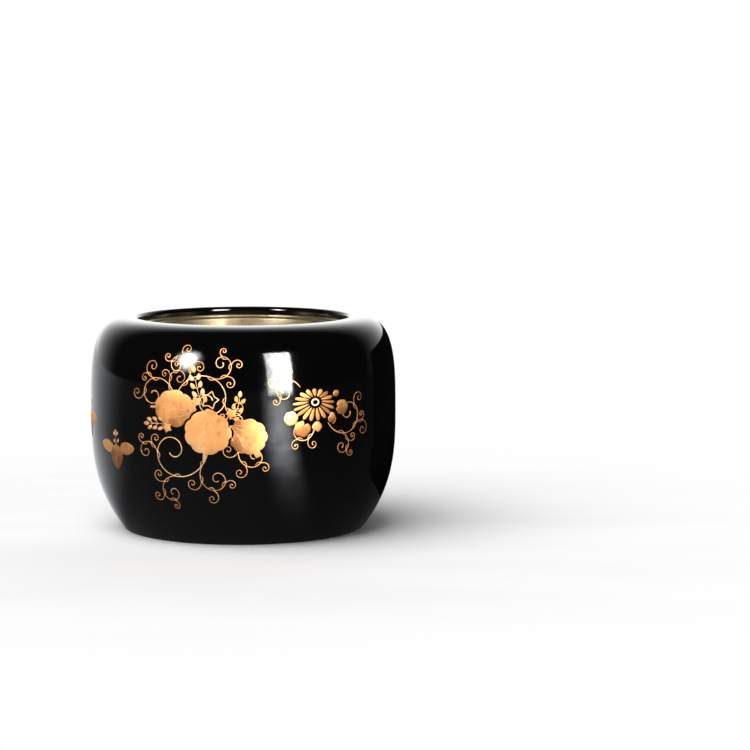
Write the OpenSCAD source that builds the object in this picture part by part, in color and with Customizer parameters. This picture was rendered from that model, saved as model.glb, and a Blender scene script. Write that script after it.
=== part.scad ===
// Lacquered wooden bowl with a lift-out brass liner.
// Millimetres, +Z up. The origin is the centre of the face that the bowl stands on.

/* [Bowl] */
// Widest diameter of the bowl, at its belly
bowl_d = 303; // [280:1:340]
// Height from the table to the crest of the rim
bowl_h = 210; // [180:1:240]
// Diameter of the foot that the bowl stands on
foot_d = 240; // [236:1:260]
// Height of the belly above the table
belly_z = 117; // [100:1:130]
// How full the side is between foot and belly: 2 is an even curve, 4 is bulging
side_fullness = 2.9; // [2:0.1:4]
// How square the shoulder is: 2 is an ellipse, 5 is nearly a corner
shoulder_squareness = 3.3; // [2:0.1:5]

/* [Mouth] */
// Diameter of the mouth above the ledge
mouth_d = 209; // [196:1:212]
// Width of the rounded lip between the crest of the rim and the mouth
lip_w = 3.2; // [2:0.1:6]
// Depth of the rounded lip below the crest
lip_drop = 3.8; // [2:0.1:6]
// Depth of the ledge that carries the liner, below the crest
ledge_depth = 11; // [10:0.5:20]
// Width of that ledge
ledge_w = 5; // [4:0.1:7]

/* [Base board] */
// Thickness of the board that closes the bottom
board_t = 18; // [12:1:24]
// Height of the board's underside above the table
board_recess = 2.5; // [1:0.5:5]
// Width of the shoulder that the board seats against
board_shoulder = 10.5; // [9:0.5:11]
// Number of bamboo pegs that hold the board
peg_count = 8; // [4:1:12]
// Diameter of a peg
peg_d = 5; // [3:0.5:6]
// Length of a peg
peg_l = 36; // [30:1:50]

/* [Liner] */
// Thickness of the liner's brass sheet
sheet_t = 0.8; // [0.6:0.1:1.2]
// Depth of the liner, from the ledge to the lower edge of its wall
liner_depth = 158; // [60:1:160]
// Height of the liner's floor above the lower edge of its wall
floor_lift = 6; // [4:1:10]
// Air gap between the liner's wall and the wood
liner_gap = 2; // [1:0.5:4]
// Width of the hem that is turned in under the floor
hem_w = 5; // [3:0.5:8]
// Diameter of the rolled bead at the liner's edge
bead_d = 3.2; // [2.8:0.1:4]
// Width of the lapped seam up the liner's wall
seam_w = 14; // [8:1:20]

/* [Hidden] */
$fn = 144;
curve_steps = 20;
lip_steps = 8;
bend_steps = 6;
bowl_r = bowl_d / 2;
foot_r = foot_d / 2;
foot_round = 1.2;
mouth_r = mouth_d / 2;
crest_r = mouth_r + lip_w;
ledge_z = bowl_h - ledge_depth;
bore_r = mouth_r - ledge_w;
board_seat_z = board_recess + board_t;
board_seat_r = bore_r + board_shoulder;
board_play = 0.2;
peg_ring_r = bore_r + board_shoulder / 2;
peg_play = 0.03;
peg_tip = 0.8;
liner_r = bore_r - liner_gap;
liner_foot_z = ledge_z - liner_depth;
bend_r = 1.5;
bead_play = 0.6;
bead_lift = 0.15;
bead_r = mouth_r - bead_play - bead_d / 2;
bead_z = ledge_z + bead_lift + bead_d / 2;
bead_bore_r = bead_d / 2 - sheet_t;
wire_play = 0.03;
solder_gap = 0.05;
board_round = 1;

// Outline of the side, from the foot up to just below the belly.
function side_points() = [
    for (i = [0 : curve_steps - 1])
        let (u = i / curve_steps)
        [bowl_r - (bowl_r - foot_r) * pow(1 - u, side_fullness), foot_round + (belly_z - foot_round) * u]
];

// Outline of the belly, shoulder and rim, a quarter of a superellipse, up to the crest.
function shoulder_points() = [
    for (i = [0 : curve_steps])
        let (a = 90 * i / curve_steps, k = 2 / shoulder_squareness)
        [crest_r + (bowl_r - crest_r) * pow(cos(a), k), belly_z + (bowl_h - belly_z) * pow(sin(a), k)]
];

// Outline of the rounded lip, from the crest down into the mouth.
function lip_points() = [
    for (i = [1 : lip_steps])
        let (a = 90 * i / lip_steps)
        [crest_r - lip_w * sin(a), bowl_h - lip_drop * (1 - cos(a))]
];

// Places its children at every peg.
module at_pegs() {
    for (i = [0 : peg_count - 1])
        rotate(360 * (i + 0.5) / peg_count) translate([peg_ring_r, 0, 0]) children();
}

// Drills the peg holes, from below the board to the pegs' tips.
module peg_holes() {
    at_pegs() cylinder(r = peg_d / 2 + peg_play, h = board_recess + peg_l + peg_play);
}

// Turned wooden wall: foot, belly, shoulder, lip, ledge, bore and the seat for the base board.
module bowl_body() {
    color("#141414") difference() {
        rotate_extrude()
            polygon(concat(
                [[board_seat_r, 0], [foot_r - foot_round, 0]],
                side_points(),
                shoulder_points(),
                lip_points(),
                [[mouth_r, ledge_z], [bore_r, ledge_z], [bore_r, board_seat_z], [board_seat_r, board_seat_z]]
            ));
        peg_holes();
    }
}

// Round board let into the underside of the bowl.
module base_board() {
    r = board_seat_r - board_play;
    color("#2a211b") difference() {
        rotate_extrude()
            polygon([
                [0, board_recess], [r - board_round, board_recess], [r, board_recess + board_round],
                [r, board_seat_z], [0, board_seat_z]
            ]);
        peg_holes();
    }
}

// Bamboo pegs, driven up through the board's edge into the wall, each with a tapered tip.
module base_pegs() {
    color("#c9a468")
        at_pegs() translate([0, 0, board_recess]) {
            cylinder(d = peg_d, h = peg_l - peg_tip);
            translate([0, 0, peg_l - peg_tip]) cylinder(d1 = peg_d, d2 = peg_d - 2 * peg_tip, h = peg_tip);
        }
}

// Outline of the bend from the liner's wall out to its flange, at one face of the sheet.
function bend_points(r, steps) = [
    for (i = [0 : steps])
        let (a = 90 * i / steps)
        [liner_r + bend_r - r * cos(a), ledge_z - bend_r + r * sin(a)]
];

// Brass wall of the liner: hem, wall, flange on the ledge, and a bead rolled round the wire.
module liner_wall() {
    color("#9c8358") {
        rotate_extrude() {
            polygon(concat(
                [
                    [liner_r, liner_foot_z], [liner_r - hem_w, liner_foot_z],
                    [liner_r - hem_w, liner_foot_z + sheet_t], [liner_r - sheet_t, liner_foot_z + sheet_t]
                ],
                bend_points(bend_r + sheet_t, bend_steps),
                [[bead_r, ledge_z + sheet_t], [bead_r, ledge_z]],
                [for (i = [bend_steps : -1 : 0]) bend_points(bend_r, bend_steps)[i]]
            ));
            translate([bead_r, bead_z]) difference() {
                circle(d = bead_d);
                circle(r = bead_bore_r);
            }
        }
        seam_lap();
    }
}

// Second layer of sheet where the wall laps over itself, outside, on the -Y side.
module seam_lap() {
    lap_angle = seam_w / liner_r * 180 / PI;
    rotate(-90 - lap_angle / 2) rotate_extrude(angle = lap_angle)
        translate([liner_r - solder_gap, liner_foot_z + sheet_t])
            square([sheet_t + solder_gap, liner_depth - 2 * bend_r - sheet_t]);
}

// Brass floor of the liner: a disc with its edge turned down to stand on the hem.
module liner_floor() {
    r = liner_r - sheet_t - solder_gap;
    skirt_z = liner_foot_z + sheet_t;
    top_z = liner_foot_z + floor_lift;
    color("#8a744e") rotate_extrude()
        polygon([
            [0, top_z], [r - bend_r, top_z], [r, top_z - bend_r], [r, skirt_z],
            [r - sheet_t, skirt_z], [r - sheet_t, top_z - bend_r - sheet_t / 2],
            [r - bend_r - sheet_t / 2, top_z - sheet_t], [0, top_z - sheet_t]
        ]);
}

// Stiffening wire inside the bead.
module liner_rim_wire() {
    color("#777777") rotate_extrude() translate([bead_r, bead_z]) circle(r = bead_bore_r - wire_play);
}

bowl_body();
base_board();
base_pegs();
liner_wall();
liner_floor();
liner_rim_wire();
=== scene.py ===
"""Looks of a black-lacquered wooden bowl with a lift-out brass liner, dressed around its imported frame.

The bowl, its liner and the gold decoration are turned, rolled and laid here at the frame's sizes, in metres.
The gold is first drawn flat on a map of the bowl's side: u runs round the belly from the front (-Y) towards
+X, v runs up the side's outline from the belly, and the third co-ordinate is the height above the lacquer.
"""

import logging
import math
from collections.abc import Sequence
from dataclasses import dataclass, field
from enum import Enum
from typing import ClassVar

import bmesh
import bpy
import numpy as np
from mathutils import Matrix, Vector


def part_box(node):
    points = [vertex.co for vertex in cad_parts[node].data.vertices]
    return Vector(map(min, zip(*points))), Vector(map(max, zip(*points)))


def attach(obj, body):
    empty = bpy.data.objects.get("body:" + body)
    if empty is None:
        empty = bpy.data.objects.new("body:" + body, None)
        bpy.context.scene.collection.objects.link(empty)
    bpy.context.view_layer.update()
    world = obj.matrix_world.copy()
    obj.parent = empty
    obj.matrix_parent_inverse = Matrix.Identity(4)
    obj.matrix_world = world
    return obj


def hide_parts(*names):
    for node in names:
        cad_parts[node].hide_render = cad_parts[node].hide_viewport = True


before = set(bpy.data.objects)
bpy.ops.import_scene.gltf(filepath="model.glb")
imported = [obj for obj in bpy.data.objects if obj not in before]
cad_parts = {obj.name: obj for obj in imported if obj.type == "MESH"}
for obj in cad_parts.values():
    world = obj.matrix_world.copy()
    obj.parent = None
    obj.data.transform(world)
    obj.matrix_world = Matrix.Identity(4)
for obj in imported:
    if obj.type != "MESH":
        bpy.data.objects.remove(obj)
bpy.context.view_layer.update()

LOG = logging.getLogger("lacquered_bowl")
MM = 0.001
Points = Sequence[tuple[float, float]]


class Slot(Enum):
    """Names of the record's material slots for the lacquer, the liner's brass and the gold."""

    LACQUER = "black_lacquer"
    BRASS = "liner_brass"
    GOLD = "gold_powder"


class Body(Enum):
    """The two bodies of the assembly."""

    BOWL = "bowl"
    LINER = "liner"


class Turn(Enum):
    """Which way a scroll winds, seen from outside the bowl."""

    LEFT = 1
    RIGHT = -1


@dataclass
class Fit:
    """How the liner sits in the bowl: the sizes that both of them share."""

    sheet: float = 0.8 * MM
    solder_gap: float = 0.05 * MM
    liner_gap: float = 2 * MM
    ledge_w: float = 5 * MM
    bead_d: float = 3.2 * MM
    bead_lift: float = 0.15 * MM
    seam_w: float = 14 * MM

    def __post_init__(self) -> None:
        """Reads the driving sizes from the frame."""
        low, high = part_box("liner_wall")
        self.liner_foot_z = low.z
        self.bead_top_z = high.z
        self.bead_r = high.x - self.bead_d / 2
        self.bead_z = high.z - self.bead_d / 2
        self.ledge_z = high.z - self.bead_d - self.bead_lift
        self.liner_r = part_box("liner_floor")[1].x + self.solder_gap + self.sheet
        self.bore_r = self.liner_r + self.liner_gap
        self.mouth_r = self.bore_r + self.ledge_w


class NodeSketch:
    """Adds nodes to one node tree and joins their sockets."""

    def __init__(self, tree: bpy.types.NodeTree) -> None:
        """Keeps the tree that the nodes are added to."""
        self.tree = tree

    def add(self, kind: str, inputs: dict | None = None, **settings: object) -> bpy.types.Node:
        """Adds a node, sets its options, and fills its inputs.

        Args:
            kind: The node's type name.
            inputs: Value or output socket for each input, by the input's name or number.
            settings: Options of the node itself.

        Returns:
            The new node.
        """
        node = self.tree.nodes.new(kind)
        for option, choice in settings.items():
            setattr(node, option, choice)
        for key, value in (inputs or {}).items():
            if isinstance(value, bpy.types.NodeSocket):
                self.tree.links.new(value, node.inputs[key])
            else:
                node.inputs[key].default_value = value
        return node

    def math(self, operation: str, *values: object) -> bpy.types.NodeSocket:
        """Works out a number from one to three others, and returns its socket."""
        return self.add("ShaderNodeMath", dict(enumerate(values)), operation=operation).outputs[0]

    def mix(self, share: object, low: object, high: object) -> bpy.types.NodeSocket:
        """Blends two numbers by a share, and returns the result's socket."""
        return self.add("ShaderNodeMix", {0: share, 2: low, 3: high}, data_type="FLOAT").outputs[0]

    def tint(self, share: object, low: object, high: object) -> bpy.types.NodeSocket:
        """Blends two colours by a share, and returns the result's socket."""
        return self.add("ShaderNodeMix", {0: share, 6: low, 7: high}, data_type="RGBA").outputs[2]

    def span(self, value: object, low: float, high: float, start: float = 0,
             end: float = 1) -> bpy.types.NodeSocket:
        """Eases a value from one range to another.

        Args:
            value: The number to convert.
            low: Where the change starts.
            high: Where it ends.
            start: Result at or below the low end.
            end: Result at or above the high end.

        Returns:
            The converted number's socket.
        """
        inputs = {"Value": value, "From Min": low, "From Max": high, "To Min": start, "To Max": end}
        return self.add("ShaderNodeMapRange", inputs, interpolation_type="SMOOTHSTEP").outputs["Result"]

    def noise(self, vector: object, scale: object, detail: float = 2,
              rough: float = 0.5) -> bpy.types.NodeSocket:
        """Samples smooth noise at a place, and returns its value's socket."""
        inputs = {"Vector": vector, "Scale": scale, "Detail": detail, "Roughness": rough}
        return self.add("ShaderNodeTexNoise", inputs).outputs[0]

    def stretched(self, vector: object, scale: tuple[float, float, float]) -> bpy.types.NodeSocket:
        """Stretches a pattern's co-ordinates along the three axes."""
        return self.add("ShaderNodeMapping", {"Vector": vector, "Scale": scale}).outputs[0]


def flat_colour(red: float, green: float, blue: float) -> tuple[float, float, float, float]:
    """Gives a colour in linear light with full opacity."""
    return (red, green, blue, 1.0)


# --------------------------------------------------------------------------------------------------
# Effects that several finishes share
# --------------------------------------------------------------------------------------------------


def new_effect(name: str, inputs: dict[str, tuple[str, object]], outputs: dict[str, str]) -> tuple:
    """Starts a shader node group with named inputs and outputs.

    Args:
        name: Name of the effect.
        inputs: Socket type and starting value of each input, by its name.
        outputs: Socket type of each output, by its name.

    Returns:
        The group, a sketch of it, its input node and its output node.
    """
    group = bpy.data.node_groups.new(name, "ShaderNodeTree")
    for label, (kind, value) in inputs.items():
        socket = group.interface.new_socket(label, in_out="INPUT", socket_type=kind)
        if value is not None:
            socket.default_value = value
    for label, kind in outputs.items():
        group.interface.new_socket(label, in_out="OUTPUT", socket_type=kind)
    sketch = NodeSketch(group)
    return group, sketch, sketch.add("NodeGroupInput"), sketch.add("NodeGroupOutput")


class Effects:
    """Dust, wear and surface unevenness, each a node group that is built once."""

    def __init__(self) -> None:
        """Builds every effect."""
        self.dust = self.make_dust()
        self.wear = self.make_wear()
        self.unevenness = self.make_unevenness()
        self.scuffs = self.make_scuffs()

    def make_dust(self) -> bpy.types.NodeTree:
        """Makes fine dust, more of it where the surface faces up."""
        inputs = {"Vector": ("NodeSocketVector", None), "Grain": ("NodeSocketFloat", 900.0),
                  "Amount": ("NodeSocketFloat", 0.5)}
        group, sketch, given, result = new_effect("Dust", inputs, {"Mask": "NodeSocketFloat"})
        specks = sketch.noise(given.outputs["Vector"], given.outputs["Grain"], 3, 0.7)
        patches = sketch.noise(given.outputs["Vector"], 14.0, 3, 0.6)
        facing = sketch.add("ShaderNodeNewGeometry").outputs["Normal"]
        facing_up = sketch.add("ShaderNodeSeparateXYZ", {0: facing}).outputs["Z"]
        upward = sketch.span(facing_up, -0.2, 1.0, 0.25, 1.0)
        specks = sketch.span(specks, 0.5, 0.72)
        settled = sketch.math("MULTIPLY", sketch.math("MULTIPLY", specks, patches), upward)
        mask = sketch.math("MULTIPLY", settled, given.outputs["Amount"])
        sketch.tree.links.new(mask, result.inputs["Mask"])
        return group

    def make_wear(self) -> bpy.types.NodeTree:
        """Makes wear along a band of height, with a broken edge."""
        inputs = {"Vector": ("NodeSocketVector", None), "Height": ("NodeSocketFloat", 0.0),
                  "Half Width": ("NodeSocketFloat", 0.01), "Grain": ("NodeSocketFloat", 60.0)}
        group, sketch, given, result = new_effect("Band Wear", inputs, {"Mask": "NodeSocketFloat"})
        rise = sketch.add("ShaderNodeSeparateXYZ", {0: given.outputs["Vector"]}).outputs["Z"]
        away = sketch.math("ABSOLUTE", sketch.math("SUBTRACT", rise, given.outputs["Height"]))
        share = sketch.math("SUBTRACT", 1.0, sketch.math("DIVIDE", away, given.outputs["Half Width"]))
        share = sketch.math("MAXIMUM", share, 0.0)
        broken = sketch.span(sketch.noise(given.outputs["Vector"], given.outputs["Grain"], 6, 0.65), 0.4, 0.7)
        sketch.tree.links.new(sketch.math("MULTIPLY", share, broken), result.inputs["Mask"])
        return group

    def make_unevenness(self) -> bpy.types.NodeTree:
        """Makes the slow swell of a hand-finished surface with a finer ripple on it."""
        inputs = {"Vector": ("NodeSocketVector", None), "Swell": ("NodeSocketFloat", 9.0),
                  "Ripple": ("NodeSocketFloat", 120.0), "Ripple Share": ("NodeSocketFloat", 0.05)}
        group, sketch, given, result = new_effect("Unevenness", inputs, {"Height": "NodeSocketFloat"})
        swell = sketch.noise(given.outputs["Vector"], given.outputs["Swell"], 1, 0.4)
        ripple = sketch.noise(given.outputs["Vector"], given.outputs["Ripple"], 2, 0.5)
        ripple = sketch.math("MULTIPLY", ripple, given.outputs["Ripple Share"])
        sketch.tree.links.new(sketch.math("ADD", swell, ripple), result.inputs["Height"])
        return group

    def make_scuffs(self) -> bpy.types.NodeTree:
        """Makes short fine scratches that run level round the piece."""
        inputs = {"Vector": ("NodeSocketVector", None), "Grain": ("NodeSocketFloat", 60.0)}
        group, sketch, given, result = new_effect("Scuffs", inputs, {"Mask": "NodeSocketFloat"})
        place = sketch.stretched(given.outputs["Vector"], (1.0, 1.0, 22.0))
        streaks = sketch.noise(place, given.outputs["Grain"], 4, 0.7)
        patches = sketch.span(sketch.noise(given.outputs["Vector"], 11.0, 2), 0.45, 0.7)
        mask = sketch.math("MULTIPLY", sketch.span(streaks, 0.56, 0.72), patches)
        sketch.tree.links.new(mask, result.inputs["Mask"])
        return group


class Finish:
    """Base of every finish: a material, its sketch, its main shader and its Object co-ordinates."""

    name = "Finish"

    def start(self) -> None:
        """Opens the material and finds the sockets that every finish starts from."""
        self.material = bpy.data.materials.new(self.name)
        self.material.use_nodes = True
        self.sketch = NodeSketch(self.material.node_tree)
        self.shader = self.material.node_tree.nodes["Principled BSDF"]
        self.place = self.sketch.add("ShaderNodeTexCoord").outputs["Object"]
        axes = self.sketch.add("ShaderNodeSeparateXYZ", {0: self.place})
        self.rise = axes.outputs["Z"]
        inputs = {0: axes.outputs["X"], 1: axes.outputs["Y"]}
        flat = self.sketch.add("ShaderNodeCombineXYZ", inputs).outputs[0]
        self.reach = self.sketch.add("ShaderNodeVectorMath", {0: flat}, operation="LENGTH").outputs["Value"]

    def effect(self, group: bpy.types.NodeTree, **values: object) -> bpy.types.NodeSocket:
        """Places a shared effect at the Object co-ordinates.

        Args:
            group: The effect's node group.
            values: Its inputs, with an underscore for each space in a name.

        Returns:
            The effect's output socket.
        """
        node = self.sketch.add("ShaderNodeGroup", node_tree=group)
        self.material.node_tree.links.new(self.place, node.inputs["Vector"])
        for label, value in values.items():
            node.inputs[label.replace("_", " ")].default_value = value
        return node.outputs[0]

    def feed(self, **values: object) -> None:
        """Gives the main shader its values, with an underscore for each space in a name."""
        for label, value in values.items():
            socket = self.shader.inputs[label.replace("_", " ")]
            if isinstance(value, bpy.types.NodeSocket):
                self.material.node_tree.links.new(value, socket)
            else:
                socket.default_value = value

    def bump(self, height: object, depth: float, under: object = None) -> bpy.types.NodeSocket:
        """Turns a height into a surface normal.

        Args:
            height: Height from 0 to 1.
            depth: What a height of 1 stands for, in metres.
            under: Normal of a coarser bump below this one.

        Returns:
            The normal's socket.
        """
        inputs = {"Height": height, "Distance": depth, "Strength": 1.0}
        if under is not None:
            inputs["Normal"] = under
        return self.sketch.add("ShaderNodeBump", inputs).outputs[0]


@dataclass(frozen=True)
class LacquerTones:
    """Colours and gloss of the black lacquer."""

    deep: tuple = flat_colour(0.0022, 0.0019, 0.0021)
    thin: tuple = flat_colour(0.020, 0.008, 0.004)
    bare: tuple = flat_colour(0.030, 0.017, 0.010)
    dust: tuple = flat_colour(0.13, 0.12, 0.11)
    gloss: float = 0.055
    hazy: float = 0.16
    dull: float = 0.55


class BlackLacquer(Finish):
    """Polished black lacquer, thin and brown at the worn edges, dull inside the bore."""

    name = "black_lacquer_coat"

    def __init__(self, effects: Effects, fit: Fit, height: float) -> None:
        """Dresses the outside, the bore and the foot.

        Args:
            effects: The shared effects.
            fit: The sizes that the bowl and the liner share.
            height: Height of the bowl.
        """
        self.start()
        tones = LacquerTones()
        sketch = self.sketch
        near_lip = sketch.span(self.reach, fit.mouth_r + 1 * MM, fit.mouth_r + 7 * MM, 0.9, 0.0)
        rim_wear = self.effect(effects.wear, Height=height, Half_Width=0.006, Grain=90.0)
        rim_wear = sketch.math("MULTIPLY", rim_wear, near_lip)
        foot_wear = self.effect(effects.wear, Height=0.0, Half_Width=0.009, Grain=110.0)
        wear = sketch.math("ADD", rim_wear, foot_wear)
        inside = sketch.math("LESS_THAN", self.reach, fit.bore_r + 1.5 * MM)
        low = sketch.math("LESS_THAN", self.rise, fit.ledge_z - 1 * MM)
        bore = sketch.math("MULTIPLY", inside, low)
        under = sketch.math("LESS_THAN", self.rise, 0.3 * MM)
        bare = sketch.math("MAXIMUM", bore, under)
        dust = self.effect(effects.dust, Grain=1100.0, Amount=0.05)
        scuffs = self.effect(effects.scuffs, Grain=70.0)
        haze = sketch.span(sketch.noise(self.place, 7.0, 3, 0.55), 0.4, 0.75)
        grain = sketch.noise(sketch.stretched(self.place, (30.0, 30.0, 400.0)), 1.0, 4, 0.6)
        colour = sketch.tint(wear, tones.deep, tones.thin)
        wood = sketch.tint(grain, tones.thin, tones.bare)
        colour = sketch.tint(bare, colour, wood)
        colour = sketch.tint(dust, colour, tones.dust)
        rough = sketch.mix(sketch.math("MULTIPLY", haze, 0.35), tones.gloss, tones.hazy)
        rough = sketch.math("ADD", rough, sketch.math("MULTIPLY", scuffs, 0.06))
        rough = sketch.math("ADD", rough, sketch.math("MULTIPLY", wear, 0.10))
        rough = sketch.math("ADD", rough, sketch.math("MULTIPLY", dust, 0.30))
        rough = sketch.mix(bare, rough, tones.dull)
        uneven = self.effect(effects.unevenness, Swell=7.0, Ripple=110.0, Ripple_Share=0.035)
        swell = self.bump(uneven, 0.35 * MM)
        fine = sketch.math("MULTIPLY", scuffs, -0.3)
        fine = sketch.math("ADD", fine, dust)
        turned = sketch.math("MULTIPLY", sketch.math("MULTIPLY", grain, bare), 6.0)
        normal = self.bump(sketch.math("ADD", fine, turned), 0.02 * MM, swell)
        self.feed(Base_Color=colour, Roughness=rough, Normal=normal, IOR=1.54)


@dataclass(frozen=True)
class GoldTones:
    """Colours of the sprinkled gold, from coppery to pale, in linear light."""

    copper: tuple = flat_colour(0.40, 0.155, 0.05)
    warm: tuple = flat_colour(0.98, 0.465, 0.155)
    pale: tuple = flat_colour(1.0, 0.74, 0.42)


class GoldPowder(Finish):
    """Gold powder sprinkled on wet lacquer: soft metal, streaky, a little rubbed through."""

    name = "sprinkled_gold"

    def __init__(self, effects: Effects) -> None:
        """Dresses the gold, from each point's tone attribute and the Object co-ordinates."""
        self.start()
        tones = GoldTones()
        sketch = self.sketch
        # The tone attribute is the gold's own tone, and on leaves and petals also painted light: paler leaf
        # tops and sides, darker right-hand petals.
        tone = sketch.add("ShaderNodeAttribute", attribute_name="tone").outputs["Fac"]
        drift = sketch.math("SUBTRACT", sketch.noise(self.place, 70.0, 4, 0.6), 0.5)
        powder = sketch.math("SUBTRACT", sketch.noise(self.place, 2600.0, 2, 0.8), 0.5)
        tone = sketch.math("ADD", tone, sketch.math("MULTIPLY", drift, 0.95))
        tone = sketch.math("ADD", tone, sketch.math("MULTIPLY", powder, 0.5))
        colour = sketch.tint(sketch.span(tone, 0.0, 0.5), tones.copper, tones.warm)
        colour = sketch.tint(sketch.span(tone, 0.5, 1.0), colour, tones.pale)
        rubbed = sketch.span(sketch.noise(self.place, 210.0, 6, 0.75), 0.56, 0.72)
        colour = sketch.tint(sketch.math("MULTIPLY", rubbed, 0.4), colour, tones.copper)
        dust = self.effect(effects.dust, Grain=1500.0, Amount=0.2)
        rough = sketch.span(powder, -0.3, 0.3, 0.42, 0.60)
        rough = sketch.math("ADD", rough, sketch.math("MULTIPLY", dust, 0.2))
        brush = sketch.noise(sketch.stretched(self.place, (260.0, 260.0, 1100.0)), 1.0, 2)
        height = sketch.math("ADD", sketch.math("MULTIPLY", brush, 0.4), powder)
        self.feed(Base_Color=colour, Roughness=rough, Metallic=0.88, Normal=self.bump(height, 0.05 * MM))


@dataclass(frozen=True)
class BrassTones:
    """Colours of the liner's aged sheet, in linear light."""

    clean: tuple = flat_colour(0.51, 0.42, 0.26)
    brown: tuple = flat_colour(0.26, 0.20, 0.11)
    dark: tuple = flat_colour(0.055, 0.034, 0.02)
    solder: tuple = flat_colour(0.36, 0.35, 0.33)


class AgedBrass(Finish):
    """Brown-gold sheet: tarnished in patches, planished by hand, soldered down the seam."""

    name = "aged_brass_sheet"

    def __init__(self, effects: Effects, fit: Fit) -> None:
        """Dresses the sheet, with its solder down the seam."""
        self.start()
        tones = BrassTones()
        sketch = self.sketch
        axes = sketch.add("ShaderNodeSeparateXYZ", {0: self.place})
        patches = sketch.noise(self.place, 16.0, 6, 0.62)
        stains = sketch.noise(sketch.stretched(self.place, (42.0, 42.0, 7.0)), 1.0, 4, 0.6)
        depth = sketch.span(self.rise, fit.liner_foot_z, fit.bead_top_z, 0.75, 0.0)
        tarnish = sketch.math("ADD", sketch.span(patches, 0.38, 0.66), sketch.math("MULTIPLY", depth, 0.6))
        tarnish = sketch.math("MULTIPLY", tarnish, sketch.span(stains, 0.25, 0.7, 0.55, 1.0))
        colour = sketch.tint(tarnish, tones.clean, tones.brown)
        spots = sketch.span(sketch.noise(self.place, 130.0, 5, 0.7), 0.62, 0.72)
        colour = sketch.tint(sketch.math("MULTIPLY", spots, 0.7), colour, tones.dark)
        across = sketch.math("ABSOLUTE", axes.outputs["X"])
        front = sketch.math("LESS_THAN", axes.outputs["Y"], -0.5 * fit.liner_r)
        ragged = sketch.math("MULTIPLY", sketch.math("SUBTRACT", patches, 0.5), 6 * MM)
        edge = sketch.math("ABSOLUTE", sketch.math("SUBTRACT", across, 0.5 * fit.seam_w))
        near = sketch.math("LESS_THAN", sketch.math("ADD", edge, ragged), 1.1 * MM)
        solder = sketch.math("MULTIPLY", near, front)
        colour = sketch.tint(solder, colour, tones.solder)
        dust = self.effect(effects.dust, Grain=700.0, Amount=0.5)
        colour = sketch.tint(sketch.math("MULTIPLY", dust, 0.5), colour, flat_colour(0.22, 0.2, 0.17))
        rough = sketch.mix(sketch.span(tarnish, 0.0, 1.2), 0.36, 0.58)
        rough = sketch.math("ADD", rough, sketch.math("MULTIPLY", dust, 0.25))
        cells = sketch.add("ShaderNodeTexVoronoi", {"Vector": self.place, "Scale": 95.0}, feature="SMOOTH_F1")
        blows = self.bump(cells.outputs["Distance"], 0.25 * MM)
        drawn = sketch.noise(sketch.stretched(self.place, (900.0, 900.0, 12.0)), 1.0, 3)
        fine = sketch.math("ADD", drawn, self.effect(effects.scuffs, Grain=90.0))
        metal = sketch.span(tarnish, 0.0, 1.4, 1.0, 0.8)
        normal = self.bump(fine, 0.02 * MM, blows)
        self.feed(Base_Color=colour, Roughness=rough, Metallic=metal, Normal=normal)


class BoardWood(Finish):
    """Dark stained board with long straight grain and pores."""

    name = "stained_board"

    def __init__(self, effects: Effects) -> None:
        """Dresses the board with its grain along X."""
        self.start()
        sketch = self.sketch
        warped = sketch.noise(self.place, 12.0, 2)
        bend = sketch.add("ShaderNodeVectorMath", {0: self.place, 1: (0.0, 1.0, 0.0)}, operation="MULTIPLY")
        lines = sketch.math("ADD", sketch.add("ShaderNodeSeparateXYZ", {0: bend.outputs[0]}).outputs["Y"],
                            sketch.math("MULTIPLY", warped, 0.03))
        rings = sketch.math("SINE", sketch.math("MULTIPLY", lines, 900.0))
        rings = sketch.span(rings, -1.0, 1.0)
        pores = sketch.noise(sketch.stretched(self.place, (60.0, 1500.0, 1500.0)), 1.0, 3, 0.7)
        pores = sketch.span(pores, 0.56, 0.68)
        colour = sketch.tint(rings, flat_colour(0.022, 0.012, 0.007), flat_colour(0.055, 0.030, 0.016))
        colour = sketch.tint(pores, colour, flat_colour(0.008, 0.005, 0.003))
        dust = self.effect(effects.dust, Grain=600.0, Amount=1.0)
        colour = sketch.tint(sketch.math("MULTIPLY", dust, 0.3), colour, flat_colour(0.2, 0.17, 0.14))
        rough = sketch.mix(rings, 0.62, 0.5)
        height = sketch.math("SUBTRACT", sketch.math("MULTIPLY", rings, 0.5), pores)
        self.feed(Base_Color=colour, Roughness=rough, Normal=self.bump(height, 0.12 * MM))


class Bamboo(Finish):
    """Peg of bamboo: pale, with dark fibre ends."""

    name = "bamboo_peg"

    def __init__(self, effects: Effects) -> None:
        """Dresses the pegs, with fibres that run up them."""
        self.start()
        sketch = self.sketch
        place = sketch.stretched(self.place, (1.0, 1.0, 0.03))
        cells = sketch.add("ShaderNodeTexVoronoi", {"Vector": place, "Scale": 1700.0})
        fibres = sketch.span(cells.outputs["Distance"], 0.15, 0.4)
        colour = sketch.tint(fibres, flat_colour(0.16, 0.08, 0.03), flat_colour(0.50, 0.33, 0.15))
        dirt = self.effect(effects.dust, Grain=500.0, Amount=1.0)
        colour = sketch.tint(sketch.math("MULTIPLY", dirt, 0.4), colour, flat_colour(0.1, 0.07, 0.04))
        rough = sketch.mix(fibres, 0.75, 0.5)
        self.feed(Base_Color=colour, Roughness=rough, Normal=self.bump(fibres, 0.05 * MM))


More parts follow.
